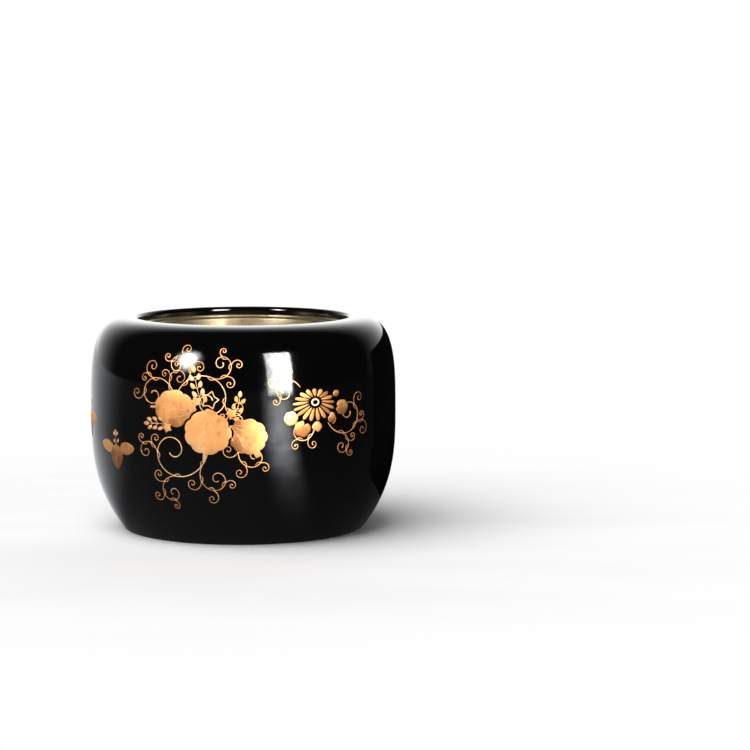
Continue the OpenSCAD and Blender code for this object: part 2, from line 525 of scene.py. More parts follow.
class IronWire(Finish):
    """Grey iron wire with a little rust."""

    name = "iron_wire"

    def __init__(self, effects: Effects) -> None:
        """Dresses the wire inside the bead."""
        self.start()
        sketch = self.sketch
        rust = sketch.span(sketch.noise(self.place, 240.0, 5, 0.7), 0.5, 0.68)
        colour = sketch.tint(rust, flat_colour(0.33, 0.33, 0.34), flat_colour(0.16, 0.06, 0.025))
        scuffs = self.effect(effects.scuffs, Grain=150.0)
        rough = sketch.math("ADD", sketch.mix(rust, 0.35, 0.8), sketch.math("MULTIPLY", scuffs, 0.1))
        metal = sketch.mix(rust, 1.0, 0.1)
        self.feed(Base_Color=colour, Roughness=rough, Metallic=metal, Normal=self.bump(rust, 0.05 * MM))


# --------------------------------------------------------------------------------------------------
# Geometry recipes
# --------------------------------------------------------------------------------------------------


def new_recipe(name: str, inputs: dict[str, tuple[str, object]]) -> tuple:
    """Starts a geometry node tree that takes a geometry and gives one back.

    Args:
        name: Name of the tree.
        inputs: Socket type and starting value of each input after the geometry, by its name.

    Returns:
        The tree, a sketch of it, its input node and its output node.
    """
    tree = bpy.data.node_groups.new(name, "GeometryNodeTree")
    tree.interface.new_socket("Geometry", in_out="INPUT", socket_type="NodeSocketGeometry")
    for label, (kind, value) in inputs.items():
        socket = tree.interface.new_socket(label, in_out="INPUT", socket_type=kind)
        if value is not None:
            socket.default_value = value
    tree.interface.new_socket("Geometry", in_out="OUTPUT", socket_type="NodeSocketGeometry")
    sketch = NodeSketch(tree)
    return tree, sketch, sketch.add("NodeGroupInput"), sketch.add("NodeGroupOutput")


def follow_recipe(name: str, mesh: bpy.types.Mesh, tree: bpy.types.NodeTree,
                  **values: object) -> bpy.types.Object:
    """Runs a recipe on a mesh and keeps the result as a plain mesh.

    Args:
        name: Name of the finished piece.
        mesh: The mesh that the recipe starts from.
        tree: The recipe.
        values: The recipe's inputs, with an underscore for each space in a name.

    Returns:
        The finished piece, at the origin, with no modifier left.
    """
    piece = bpy.data.objects.new(name, mesh)
    modifier = piece.modifiers.new(tree.name, "NODES")
    modifier.node_group = tree
    for socket in tree.interface.items_tree:
        label = socket.name.replace(" ", "_")
        if socket.item_type == "SOCKET" and socket.in_out == "INPUT" and label in values:
            modifier[socket.identifier] = values[label]
    bpy.context.scene.collection.objects.link(piece)
    graph = bpy.context.evaluated_depsgraph_get()
    finished = bpy.data.meshes.new_from_object(piece.evaluated_get(graph), depsgraph=graph)
    piece.modifiers.remove(modifier)
    piece.data = finished
    finished.name = name
    bpy.data.meshes.remove(mesh)
    return piece


def finish_edges(sketch: NodeSketch, geometry: object, angle: float) -> bpy.types.NodeSocket:
    """Shades a mesh smooth, but keeps every edge sharper than an angle."""
    inputs = {"Geometry": geometry, "Shade Smooth": True}
    smooth = sketch.add("GeometryNodeSetShadeSmooth", inputs, domain="FACE")
    fold = sketch.add("GeometryNodeInputMeshEdgeAngle").outputs["Unsigned Angle"]
    inputs = {0: fold, 1: angle}
    sharp = sketch.add("FunctionNodeCompare", inputs, data_type="FLOAT", operation="GREATER_THAN")
    inputs = {"Geometry": smooth.outputs[0], "Selection": sharp.outputs[0], "Shade Smooth": False}
    return sketch.add("GeometryNodeSetShadeSmooth", inputs, domain="EDGE").outputs[0]


class Lathe:
    """Turns an outline, drawn in the XZ plane, round the Z axis."""

    SHARP = math.radians(32)
    WELD = 2e-6

    def __init__(self) -> None:
        """Builds the turning recipe."""
        inputs = {"Facets": ("NodeSocketInt", 288), "Start": ("NodeSocketFloat", 0.0),
                  "Sweep": ("NodeSocketFloat", math.tau), "Material": ("NodeSocketMaterial", None)}
        tree, sketch, given, result = new_recipe("Turned on the lathe", inputs)
        outline = given.outputs["Geometry"]
        domain = sketch.add("GeometryNodeAttributeDomainSize", {0: outline}, component="MESH")
        count = domain.outputs["Point Count"]
        facets = given.outputs["Facets"]
        rows = sketch.math("ADD", facets, 1.0)
        grid = sketch.add("GeometryNodeMeshGrid", {"Vertices X": rows, "Vertices Y": count}).outputs["Mesh"]
        index = sketch.add("GeometryNodeInputIndex").outputs[0]
        along = sketch.math("MODULO", index, count)
        around = sketch.math("FLOOR", sketch.math("DIVIDE", index, count))
        position = sketch.add("GeometryNodeInputPosition").outputs[0]
        inputs = {"Geometry": outline, "Value": position, "Index": along}
        sample = sketch.add("GeometryNodeSampleIndex", inputs, data_type="FLOAT_VECTOR", domain="POINT")
        point = sample.outputs[0]
        angle = sketch.math("MULTIPLY", sketch.math("DIVIDE", around, facets), given.outputs["Sweep"])
        angle = sketch.math("ADD", angle, given.outputs["Start"])
        spin = {"Vector": point, "Axis": (0.0, 0.0, 1.0), "Angle": angle}
        turned = sketch.add("ShaderNodeVectorRotate", spin, rotation_type="AXIS_ANGLE").outputs[0]
        placed = sketch.add("GeometryNodeSetPosition", {"Geometry": grid, "Position": turned}).outputs[0]
        inputs = {"Geometry": placed, "Distance": self.WELD}
        welded = sketch.add("GeometryNodeMergeByDistance", inputs).outputs[0]
        shaded = finish_edges(sketch, welded, self.SHARP)
        whole = sketch.add("GeometryNodeRealizeInstances", {"Geometry": shaded}).outputs[0]
        inputs = {"Geometry": whole, "Material": given.outputs["Material"]}
        dressed = sketch.add("GeometryNodeSetMaterial", inputs)
        tree.links.new(dressed.outputs[0], result.inputs["Geometry"])
        self.tree = tree

    def turn(self, name: str, outline: Points, finish: Finish, closed: bool = True,
             **values: object) -> bpy.types.Object:
        """Turns one piece.

        Args:
            name: Name of the piece.
            outline: Radius and height of each point in metres, anticlockwise seen with +X to the right.
            finish: The finish that it is dressed in.
            closed: Whether the outline's end joins its start.
            values: Other inputs of the turning recipe.

        Returns:
            The turned piece.
        """
        points = list(outline) + ([outline[0]] if closed else [])
        mesh = bpy.data.meshes.new(name)
        mesh.from_pydata([(r, 0.0, z) for r, z in points], [(i, i + 1) for i in range(len(points) - 1)], [])
        return follow_recipe(name, mesh, self.tree, Material=finish.material, **values)


def close_ends(mesh: bpy.types.Mesh) -> None:
    """Closes the two flat ends of a piece that is turned only part of the way round."""
    shape = bmesh.new()
    shape.from_mesh(mesh)
    bmesh.ops.holes_fill(shape, edges=[edge for edge in shape.edges if edge.is_boundary], sides=0)
    bmesh.ops.recalc_face_normals(shape, faces=shape.faces)
    shape.to_mesh(mesh)
    shape.free()


def arc(centre: tuple[float, float], radius: float, start: float, end: float,
        steps: int) -> list[tuple[float, float]]:
    """Points on an arc, both ends included.

    Args:
        centre: The arc's centre.
        radius: Its radius.
        start: Angle of its first point, in degrees.
        end: Angle of its last point.
        steps: How many segments it has.

    Returns:
        The points.
    """
    angles = [math.radians(start + (end - start) * i / steps) for i in range(steps + 1)]
    return [(centre[0] + radius * math.cos(a), centre[1] + radius * math.sin(a)) for a in angles]


def sheet_outline(path: Points, thickness: float) -> list[tuple[float, float]]:
    """Gives a bent sheet its thickness.

    Args:
        path: Points along the middle of the sheet.
        thickness: The sheet's thickness.

    Returns:
        The sheet's closed outline: its right side forwards, then its left side back.
    """
    middle = np.array(path)
    along = np.gradient(middle, axis=0)
    along /= np.linalg.norm(along, axis=1)[:, None]
    right = np.column_stack([along[:, 1], -along[:, 0]]) * thickness / 2
    both = np.vstack([middle + right, (middle - right)[::-1]])
    return [tuple(point) for point in both.tolist()]


# --------------------------------------------------------------------------------------------------
# The bowl
# --------------------------------------------------------------------------------------------------


@dataclass
class TurnedBowl:
    """The turned wooden wall with its board and pegs."""

    lathe: Lathe
    fit: Fit
    finish: BlackLacquer
    board_finish: BoardWood
    peg_finish: Bamboo
    belly_z: float = 117 * MM
    foot_r: float = 120 * MM
    foot_round: float = 1.2 * MM
    side_fullness: float = 2.9
    shoulder_squareness: float = 3.3
    lip_w: float = 3.2 * MM
    lip_drop: float = 3.8 * MM
    edge_round: float = 0.5 * MM
    board_shoulder: float = 10.5 * MM
    side_steps: int = 48
    shoulder_steps: int = 72

    def __post_init__(self) -> None:
        """Reads the driving sizes from the frame."""
        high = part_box("bowl_body")[1]
        self.belly_r = high.x
        self.height = high.z
        self.crest_r = self.fit.mouth_r + self.lip_w
        self.seat_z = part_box("base_board")[1].z
        self.seat_r = self.fit.bore_r + self.board_shoulder

    def side(self) -> list[tuple[float, float]]:
        """Outline of the side from the foot's edge up to the belly."""
        shares = [i / self.side_steps for i in range(self.side_steps)]
        spread = self.belly_r - self.foot_r
        rise = self.belly_z - self.foot_round
        return [(self.belly_r - spread * (1 - u) ** self.side_fullness, self.foot_round + rise * u)
                for u in shares]

    def shoulder(self) -> list[tuple[float, float]]:
        """Outline of the belly, shoulder and rim up to the crest."""
        power = 2 / self.shoulder_squareness
        outline = []
        for i in range(self.shoulder_steps + 1):
            angle = math.pi / 2 * i / self.shoulder_steps
            out = max(math.cos(angle), 0.0) ** power
            outline.append((self.crest_r + (self.belly_r - self.crest_r) * out,
                            self.belly_z + (self.height - self.belly_z) * math.sin(angle) ** power))
        return outline

    def lip(self) -> list[tuple[float, float]]:
        """Outline of the rounded lip, from the crest into the mouth."""
        angles = [math.pi / 2 * i / 10 for i in range(1, 11)]
        return [(self.crest_r - self.lip_w * math.sin(a), self.height - self.lip_drop * (1 - math.cos(a)))
                for a in angles]

    def outer_outline(self) -> list[tuple[float, float]]:
        """Outline of the outside that the gold is laid on, from foot to crest."""
        return self.side() + self.shoulder()

    def build(self) -> None:
        """Turns the wall and lets it ride on the bowl, and dresses the board and the pegs."""
        edge = self.edge_round
        bore_r, ledge_z = self.fit.bore_r, self.fit.ledge_z
        inside = [(self.fit.mouth_r, ledge_z)]
        inside += arc((bore_r + edge, ledge_z - edge), edge, 90, 180, 4)
        inside += [(bore_r, self.seat_z), (self.seat_r, self.seat_z)]
        foot = arc((self.seat_r + edge, edge), edge, 180, 270, 4)
        foot += [(self.foot_r - self.foot_round, 0.0)]
        outline = self.outer_outline() + self.lip() + inside + foot
        wall = self.lathe.turn("lacquered_wall", outline, self.finish)
        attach(wall, Body.BOWL.value)
        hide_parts("bowl_body")
        LOG.info("lacquered wall: %d faces", len(wall.data.polygons))
        for node, finish in (("base_board", self.board_finish), ("base_pegs", self.peg_finish)):
            dress_node(node, finish)
            LOG.info("%s dressed", node)


def dress_node(node: str, finish: Finish) -> None:
    """Gives a node of the frame its finish."""
    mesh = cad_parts[node].data
    mesh.materials.clear()
    mesh.materials.append(finish.material)


# --------------------------------------------------------------------------------------------------
# The liner
# --------------------------------------------------------------------------------------------------


@dataclass
class BrassLiner:
    """The lift-out liner: a lapped sheet wall with a rolled bead, its floor, and the bead's wire."""

    lathe: Lathe
    fit: Fit
    finish: AgedBrass
    wire_finish: IronWire
    bend_r: float = 1.5 * MM
    low_bend_r: float = 1.2 * MM
    hem_w: float = 5 * MM
    floor_lift: float = 6 * MM

    def wall_path(self) -> list[tuple[float, float]]:
        """Middle of the wall's sheet: hem, wall, bend, flange and the bead rolled round its wire."""
        half = self.fit.sheet / 2
        bend = self.bend_r + half
        low_bend = self.low_bend_r
        hem_z = self.fit.liner_foot_z + half
        wall = self.fit.liner_r - half
        flange_z = self.fit.ledge_z + half
        bead_r = self.fit.bead_r
        path = [(wall - self.hem_w + half, hem_z)]
        path += arc((wall - low_bend, hem_z + low_bend), low_bend, -90, 0, 6)
        top = flange_z - bend
        rise = top - hem_z - low_bend
        path += [(wall, hem_z + low_bend + rise * share) for share in (0.1, 0.3, 0.5, 0.7, 0.9)]
        path += arc((wall + bend, top), bend, 180, 90, 10)
        path += [(bead_r - 1.4 * MM, flange_z), (bead_r - 0.8 * MM, flange_z)]
        path += arc((bead_r, self.fit.bead_z), self.fit.bead_d / 2 - half, -90, 205, 30)
        return path

    def build(self) -> None:
        """Makes the wall, its lapped seam and its floor, dresses the wire, and rides them on the liner."""
        wall = self.lathe.turn("brass_wall", sheet_outline(self.wall_path(), self.fit.sheet), self.finish)
        seam = self.lathe.turn("brass_seam_lap", self.seam_outline(), self.finish, **self.seam_sweep())
        close_ends(seam.data)
        floor = self.lathe.turn("brass_floor", self.floor_outline(), self.finish, closed=False)
        for piece, node in ((wall, "liner_wall"), (seam, "liner_wall"), (floor, "liner_floor")):
            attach(piece, Body.LINER.value)
            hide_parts(node)
            LOG.info("%s: %d faces", piece.name, len(piece.data.polygons))
        dress_node("liner_rim_wire", self.wire_finish)

    def seam_outline(self) -> list[tuple[float, float]]:
        """Outline of the second layer of sheet outside the wall."""
        inner = self.fit.liner_r - self.fit.solder_gap
        outer = self.fit.liner_r + self.fit.sheet
        low = self.fit.liner_foot_z + self.fit.sheet
        high = self.fit.ledge_z - 2 * self.bend_r
        round_r = 0.3 * MM
        return [(inner, low), *arc((outer - round_r, low + round_r), round_r, -90, 0, 3),
                *arc((outer - round_r, high - round_r), round_r, 0, 90, 3), (inner, high)]

    def seam_sweep(self) -> dict[str, object]:
        """Where the lap starts round the wall, how far it goes, and its facets."""
        sweep = self.fit.seam_w / self.fit.liner_r
        return {"Start": -math.pi / 2 - sweep / 2, "Sweep": sweep, "Facets": 12}

    def floor_outline(self) -> list[tuple[float, float]]:
        """Outline of the floor, a shallow cap with a turned-down edge, from the axis above to below."""
        sheet = self.fit.sheet
        outer = self.fit.liner_r - sheet - self.fit.solder_gap
        top = self.fit.liner_foot_z + self.floor_lift
        low = self.fit.liner_foot_z + sheet
        inner_bend = self.bend_r - sheet
        outline = [(outer - sheet, low), (outer, low)]
        outline += arc((outer - self.bend_r, top - self.bend_r), self.bend_r, 0, 90, 8)
        outline += [(outer * share, top) for share in (0.8, 0.6, 0.4, 0.2, 0.0)]
        outline += [(outer * share, top - sheet) for share in (0.0, 0.2, 0.4, 0.6, 0.8)]
        outline += arc((outer - self.bend_r, top - self.bend_r), inner_bend, 90, 0, 6)
        return outline + [outline[0]]


# --------------------------------------------------------------------------------------------------
# The gold, drawn flat
# --------------------------------------------------------------------------------------------------


@dataclass
class Line:
    """One brushed line on the map of the side: where it has got to, and where it is heading."""

    points: list[tuple[float, float]]
    heading: float
    width: float
    tone: float = 0.62

    def wind(self, way: Turn, wide: float, tight: float, turn: float) -> "Line":
        """Winds on like a scroll, its radius falling evenly from wide to tight.

        Args:
            way: Which way it winds.
            wide: Radius at the start, in millimetres.
            tight: Radius at the end.
            turn: How far it turns, in degrees.

        Returns:
            The line itself, so that bends can follow one another.
        """
        steps = max(4, round(turn / 9))
        bend = math.radians(turn) / steps * way.value
        for i in range(steps):
            radius = wide * (tight / wide) ** ((i + 0.5) / steps)
            self.heading += bend / 2
            u, v = self.points[-1]
            step = radius * abs(bend)
            self.points.append((u + step * math.cos(self.heading), v + step * math.sin(self.heading)))
            self.heading += bend / 2
        return self

    def at(self, share: float) -> tuple[tuple[float, float], float]:
        """Finds the place and the heading at a share of the line's length."""
        path = np.array(self.points)
        steps = np.diff(path, axis=0)
        lengths = np.hypot(steps[:, 0], steps[:, 1])
        run = np.concatenate([[0.0], np.cumsum(lengths)])
        i = min(int(np.searchsorted(run, share * run[-1], side="right")) - 1, len(steps) - 1)
        place = path[i] + steps[i] * (share * run[-1] - run[i]) / lengths[i]
        return (float(place[0]), float(place[1])), math.atan2(steps[i][1], steps[i][0])

    def length(self) -> float:
        """Length of the line in millimetres."""
        steps = np.diff(np.array(self.points), axis=0)
        return float(np.hypot(steps[:, 0], steps[:, 1]).sum())


@dataclass(frozen=True)
class Placement:
    """Where a group of motifs sits round the bowl, and whether it is turned over left to right."""

    shift: float = 0.0
    mirrored: bool = False

    def place(self, points: np.ndarray) -> np.ndarray:
        """Moves points of the group, in millimetres, to their place on the map."""
        moved = np.array(points, float)
        moved[:, 0] = self.shift + (-moved[:, 0] if self.mirrored else moved[:, 0])
        return moved

    def direction(self, angle: float) -> float:
        """Turns over a direction on the map, in radians."""
        return math.pi - angle if self.mirrored else angle


@dataclass(frozen=True)
class Stroke:
    """One finished line on the map: its points, width, tone and height, and whether it closes to a ring."""

    points: np.ndarray
    width: float
    tone: float
    ring: bool = False
    lift: float = 0.0


@dataclass
class FlatGold:
    """Everything drawn flat for one piece of gold: lines, leaves, and the places of what repeats."""

    lines: list[Stroke] = field(default_factory=list)
    vertices: list[tuple[float, float, float]] = field(default_factory=list)
    faces: list[tuple[int, ...]] = field(default_factory=list)
    tones: list[float] = field(default_factory=list)
    petals: list[tuple[float, ...]] = field(default_factory=list)
    buds: list[tuple[float, ...]] = field(default_factory=list)
    blossoms: list[tuple[float, ...]] = field(default_factory=list)


def scalloped(half_w: float, half_h: float, lobes: int, depth: float, count: int = 240) -> np.ndarray:
    """Outline of a round shape with a scalloped edge.

    Args:
        half_w: Half its width in millimetres.
        half_h: Half its height.
        lobes: How many scallops it has.
        depth: How deep they cut, as a share of the radius.
        count: How many points the outline has.

    Returns:
        The outline, anticlockwise.
    """
    angle = np.linspace(0, 2 * np.pi, count, endpoint=False)
    radius = 1 - depth * (1 - np.abs(np.cos(lobes * angle / 2)) ** 0.7)
    return np.column_stack([half_w * radius * np.cos(angle), half_h * radius * np.sin(angle)])


def starry(radius: float, points: int, depth: float, turn: float = 90.0, count: int = 90) -> np.ndarray:
    """Outline of a star-shaped blossom with soft points.

    Args:
        radius: Distance of its points from its centre, in millimetres.
        points: How many it has.
        depth: How deep it is cut between them, as a share of the radius.
        turn: Where its first point lies, in degrees.
        count: How many points the outline has.

    Returns:
        The outline, anticlockwise.
    """
    angle = np.linspace(0, 2 * np.pi, count, endpoint=False)
    reach = radius * (1 - depth * np.abs(np.sin(points * angle / 2)) ** 0.85)
    angle = angle + math.radians(turn)
    return np.column_stack([reach * np.cos(angle), reach * np.sin(angle)])


def notched(outline: np.ndarray, direction: float, depth: float, spread: float) -> np.ndarray:
    """Cuts a soft notch into an outline.

    Args:
        outline: The outline, round its own centre.
        direction: Where the notch lies, in degrees.
        depth: How deep it is, as a share of the radius.
        spread: Its half width, in degrees.

    Returns:
        The notched outline.
    """
    away = np.degrees(np.arctan2(outline[:, 1], outline[:, 0])) - direction
    away = (away + 180) % 360 - 180
    return outline * (1 - depth * np.exp(-((away / spread) ** 2)))[:, None]


def pointed(length: float, width: float, fullness: float = 1.35, teeth: int = 0,
            count: int = 120) -> np.ndarray:
    """Outline of a leaf with a point at each end, lying along u.

    Args:
        length: Its length in millimetres.
        width: Its width.
        fullness: 1 gives round ends, 2 long thin ones.
        teeth: How many teeth its edge has.
        count: How many points the outline has.

    Returns:
        The outline, anticlockwise.
    """
    angle = np.linspace(0, 2 * np.pi, count, endpoint=False)
    side = np.sign(np.sin(angle)) * np.abs(np.sin(angle)) ** fullness
    cut = 1 - 0.12 * (1 - np.abs(np.cos(teeth * angle / 2))) if teeth else 1.0
    taper = 1 - 0.2 * np.cos(angle)
    return np.column_stack([length / 2 * np.cos(angle) * cut, width / 2 * side * cut * taper])


def with_tip(outline: np.ndarray, reach: float, half_w: float, direction: float) -> np.ndarray:
    """Pulls a narrow tip out of an outline.

    Args:
        outline: The outline, round its own centre.
        reach: Distance of the tip from the centre.
        half_w: Half the tip's width.
        direction: Where the tip points, in radians.

    Returns:
        The outline with its tip.
    """
    angle = np.arctan2(outline[:, 1], outline[:, 0]) - direction
    angle = (angle + np.pi) % (2 * np.pi) - np.pi
    radius = np.hypot(outline[:, 0], outline[:, 1])
    stub = np.minimum(reach, half_w / np.maximum(np.abs(np.sin(angle)), 1e-6))
    grown = np.where(np.abs(angle) < 0.6, np.maximum(radius, stub), radius)
    return outline * (grown / radius)[:, None]


def stopped_short(outline: np.ndarray, centre: tuple[float, float], other: np.ndarray) -> np.ndarray:
    """Pulls an outline in wherever it would run under another one.

    Args:
        outline: The outline, round its own centre.
        centre: That centre's place on the map.
        other: The outline that it must not enter, on the map.

    Returns:
        The outline, stopped short of the other.
    """
    middle = other.mean(axis=0)
    angles = np.arctan2(*(other - middle).T[::-1])
    order = np.argsort(angles)
    reaches = np.hypot(*(other - middle).T)[order]
    shares = np.linspace(1.0, 0.2, 81)
    kept = outline.copy()
    for i, point in enumerate(outline):
        trail = point * shares[:, None] + centre - middle
        limit = np.interp(np.arctan2(trail[:, 1], trail[:, 0]), angles[order], reaches, period=math.tau)
        kept[i] = point * shares[np.argmax(np.hypot(*trail.T) >= limit)]
    return kept


class GoldBrush:
    """Draws lines, leaves, buds and flowers for one placement of a group of motifs."""

    LINE_W = 0.80
    THIN_W = 0.62
    RING_SHARES = (0.0, 0.25, 0.45, 0.6, 0.72, 0.82, 0.9, 0.96, 1.0)
    RELIEF = 0.28
    SUNK = -0.12
    OFFSHOOTS = ((0.2, 0.5), (0.4, 0.45), (0.6, 0.35))
    CLOSING = 0.12
    WINDING = 540.0
    SMALLEST = 5.5
    FADING = 0.1
    FORK = 4.0

    def __init__(self, gold: FlatGold, placement: Placement) -> None:
        """Keeps the gold that is drawn to, and where the group goes."""
        self.gold = gold
        self.placement = placement

    def line(self, u: float, v: float, heading: float, width: float = LINE_W, tone: float = 0.62) -> Line:
        """Sets the brush down at a place, heading in a direction in degrees."""
        return Line([(u, v)], math.radians(heading), width, tone)

    def draw(self, line: Line, ring: bool = False, lift: float = 0.0) -> Line:
        """Keeps a finished line and returns it.

        Args:
            line: The line.
            ring: Whether it closes to a ring.
            lift: How far it is raised, in millimetres, as over a leaf.

        Returns:
            The same line.
        """
        self.gold.lines.append(Stroke(self.placement.place(line.points), line.width, line.tone, ring, lift))
        return line

    def scroll(self, line: Line, way: Turn, wide: float) -> None:
        """Winds a scroll, and grows smaller ones from it that wind the other way.

        Args:
            line: The line, set down where the scroll starts.
            way: The way that it winds.
            wide: Its opening radius in millimetres.
        """
        self.draw(line.wind(way, wide, self.CLOSING * wide, self.WINDING))
        other = Turn.RIGHT if way is Turn.LEFT else Turn.LEFT
        for share, ratio in self.OFFSHOOTS:
            size = wide * ratio
            if size < self.SMALLEST:
                continue
            start, heading = line.at(share)
            child = Line([start], heading, self.THIN_W, line.tone - self.FADING)
            self.scroll(child, other, size)
            back = share - self.FORK / line.length()
            self.fork(line.at(max(back, 0.0)), child.at(min(self.FORK / child.length(), 0.5)), child.tone)

    def fork(self, start: tuple, end: tuple, tone: float) -> None:
        """Closes the crotch of a fork with a small bowed line.

        Args:
            start: Place and heading where it leaves the parent.
            end: Place and heading where it meets the offshoot.
            tone: Its tone.
        """
        first, last = np.array(start[0]), np.array(end[0])
        chord = last - first
        if np.hypot(*chord) < 1.5:
            return
        side = math.cos(start[1]) * chord[1] - math.sin(start[1]) * chord[0]
        bow = np.array([-chord[1], chord[0]]) * math.copysign(0.3, side)
        points = [tuple(first + chord * t + bow * 4 * t * (1 - t)) for t in np.linspace(0, 1, 7)]
        self.draw(Line(points, 0.0, self.THIN_W, tone))

    def ring(self, u: float, v: float, outline: np.ndarray, width: float, tone: float = 0.7) -> None:
        """Draws an outline round a centre as a closed line."""
        points = [(u + x, v + y) for x, y in outline.tolist()]
        self.draw(Line(points, 0.0, width, tone), True)

    def leaf(self, u: float, v: float, outline: np.ndarray, turn: float = 0.0, tone: float = 0.5,
             bokashi_and_top_light: float = 0.25, bokashi_and_right_light: float = 0.0) -> None:
        """Lays a domed leaf.

        Args:
            u: Its centre round the belly, in millimetres.
            v: Its centre up the side.
            outline: Its outline, round its own centre.
            turn: How far it is turned, in degrees.
            tone: Its tone from coppery (0) to pale (1).
            bokashi_and_top_light: How much paler its top is than its middle, partly bokashi grading, partly
                painted light.
            bokashi_and_right_light: How much paler its right side is than its middle, partly bokashi grading,
                partly painted light.
        """
        spin = math.radians(turn)
        matrix = np.array([[math.cos(spin), math.sin(spin)], [-math.sin(spin), math.cos(spin)]])
        rim = outline @ matrix
        tall = max(float(np.abs(rim[:, 1]).max()), 1e-6)
        count = len(rim)
        first = len(self.gold.vertices)
        rows = [(0.0, 0.0, self.RELIEF)]
        for share in self.RING_SHARES[1:]:
            height = self.SUNK if share == 1.0 else self.RELIEF * (1 - share ** 8)
            rows += [(x * share, y * share, height) for x, y in rim.tolist()]
        rows.append((0.0, 0.0, self.SUNK))
        local = np.array(rows)
        flat = self.placement.place(local[:, :2] + (u, v))
        self.gold.vertices += [(*pair, high) for pair, high in zip(flat.tolist(), local[:, 2].tolist())]
        # Paler top and right side of the leaf: partly bokashi grading of the powder, partly painted light.
        self.gold.tones += (tone + (bokashi_and_top_light * local[:, 1] + bokashi_and_right_light * local[:, 0]) / tall).tolist()
        rings = len(self.RING_SHARES) - 1
        last = first + 1 + rings * count
        quads = []
        for j in range(count):
            k = (j + 1) % count
            quads.append((first, first + 1 + j, first + 1 + k))
            for i in range(rings - 1):
                inner = first + 1 + i * count
                quads.append((inner + j, inner + count + j, inner + count + k, inner + k))
            rim_start = first + 1 + (rings - 1) * count
            quads.append((last, rim_start + k, rim_start + j))
        self.gold.faces += [face[::-1] if self.placement.mirrored else face for face in quads]

    def mark(self, kind: list, u: float, v: float, heading: float, long: float, wide: float,
             tone: float) -> None:
        """Notes the place of one repeated shape.

        Args:
            kind: The list of that shape's places.
            u: Its place round the belly, in millimetres.
            v: Its place up the side.
            heading: Where it points, in degrees.
            long: Its length.
            wide: Its width.
            tone: Its tone.
        """
        (place,) = self.placement.place(np.array([(u, v)])).tolist()
        kind.append((*place, self.placement.direction(math.radians(heading)), long, wide, tone))

    def veins(self, base: tuple[float, float], tip: tuple[float, float], reach: float) -> None:
        """Draws the veins that fan out over a leaf from its base.

        Args:
            base: Where the leaf joins its stalk.
            tip: Where its middle vein ends.
            reach: Length of the longest side vein, in millimetres.
        """
        heading = math.degrees(math.atan2(tip[1] - base[1], tip[0] - base[0]))
        length = math.hypot(tip[0] - base[0], tip[1] - base[1])
        middle = self.line(*base, heading - 6, 0.38, 0.8).wind(Turn.LEFT, length * 4.8, length * 4.8, 12)
        self.draw(middle, lift=self.RELIEF + 0.02)
        for way in (Turn.LEFT, Turn.RIGHT):
            for veer, share, start in ((66, 0.72, 0.02), (42, 1.0, 0.03), (30, 0.62, 0.4)):
                place, along = middle.at(start)
                vein = Line([place], along + way.value * math.radians(veer), 0.3, 0.75)
                other = Turn.RIGHT if way is Turn.LEFT else Turn.LEFT
                vein.wind(other, reach * share * 1.9, reach * share * 1.9, 30)
                self.draw(vein, lift=self.RELIEF + 0.02)

    def spike(self, stalk: Line, pairs: int, long: float, wide: float, spread: float) -> None:
        """Sets buds in pairs along a stalk with one at its end.

        Args:
            stalk: The stalk, already drawn.
            pairs: How many pairs of buds it has.
            long: Length of a bud in millimetres.
            wide: Width of a bud.
            spread: How far a bud stands off the stalk.
        """
        end, heading = stalk.at(1.0)
        ahead = long * 0.55
        self.mark(self.gold.buds, end[0] + ahead * math.cos(heading), end[1] + ahead * math.sin(heading),
                  math.degrees(heading), long * 1.1, wide * 1.1, 0.65)
        for i in range(pairs):
            place, along = stalk.at(0.06 + 0.7 * i / max(pairs - 1, 1))
            for way in (1, -1):
                angle = along + way * math.radians(46)
                reach = spread * (1.1 - 0.25 * i / pairs)
                bud = (place[0] + reach * math.cos(angle), place[1] + reach * math.sin(angle))
                stem = Line([place], angle, 0.5, stalk.tone)
                stem.wind(Turn.LEFT if way < 0 else Turn.RIGHT, reach * 3, reach * 3, 12)
                self.draw(stem)
                turned = math.degrees(angle) - way * 24
                self.mark(self.gold.buds, *bud, turned, long, wide, 0.6 + 0.12 * (i % 2))


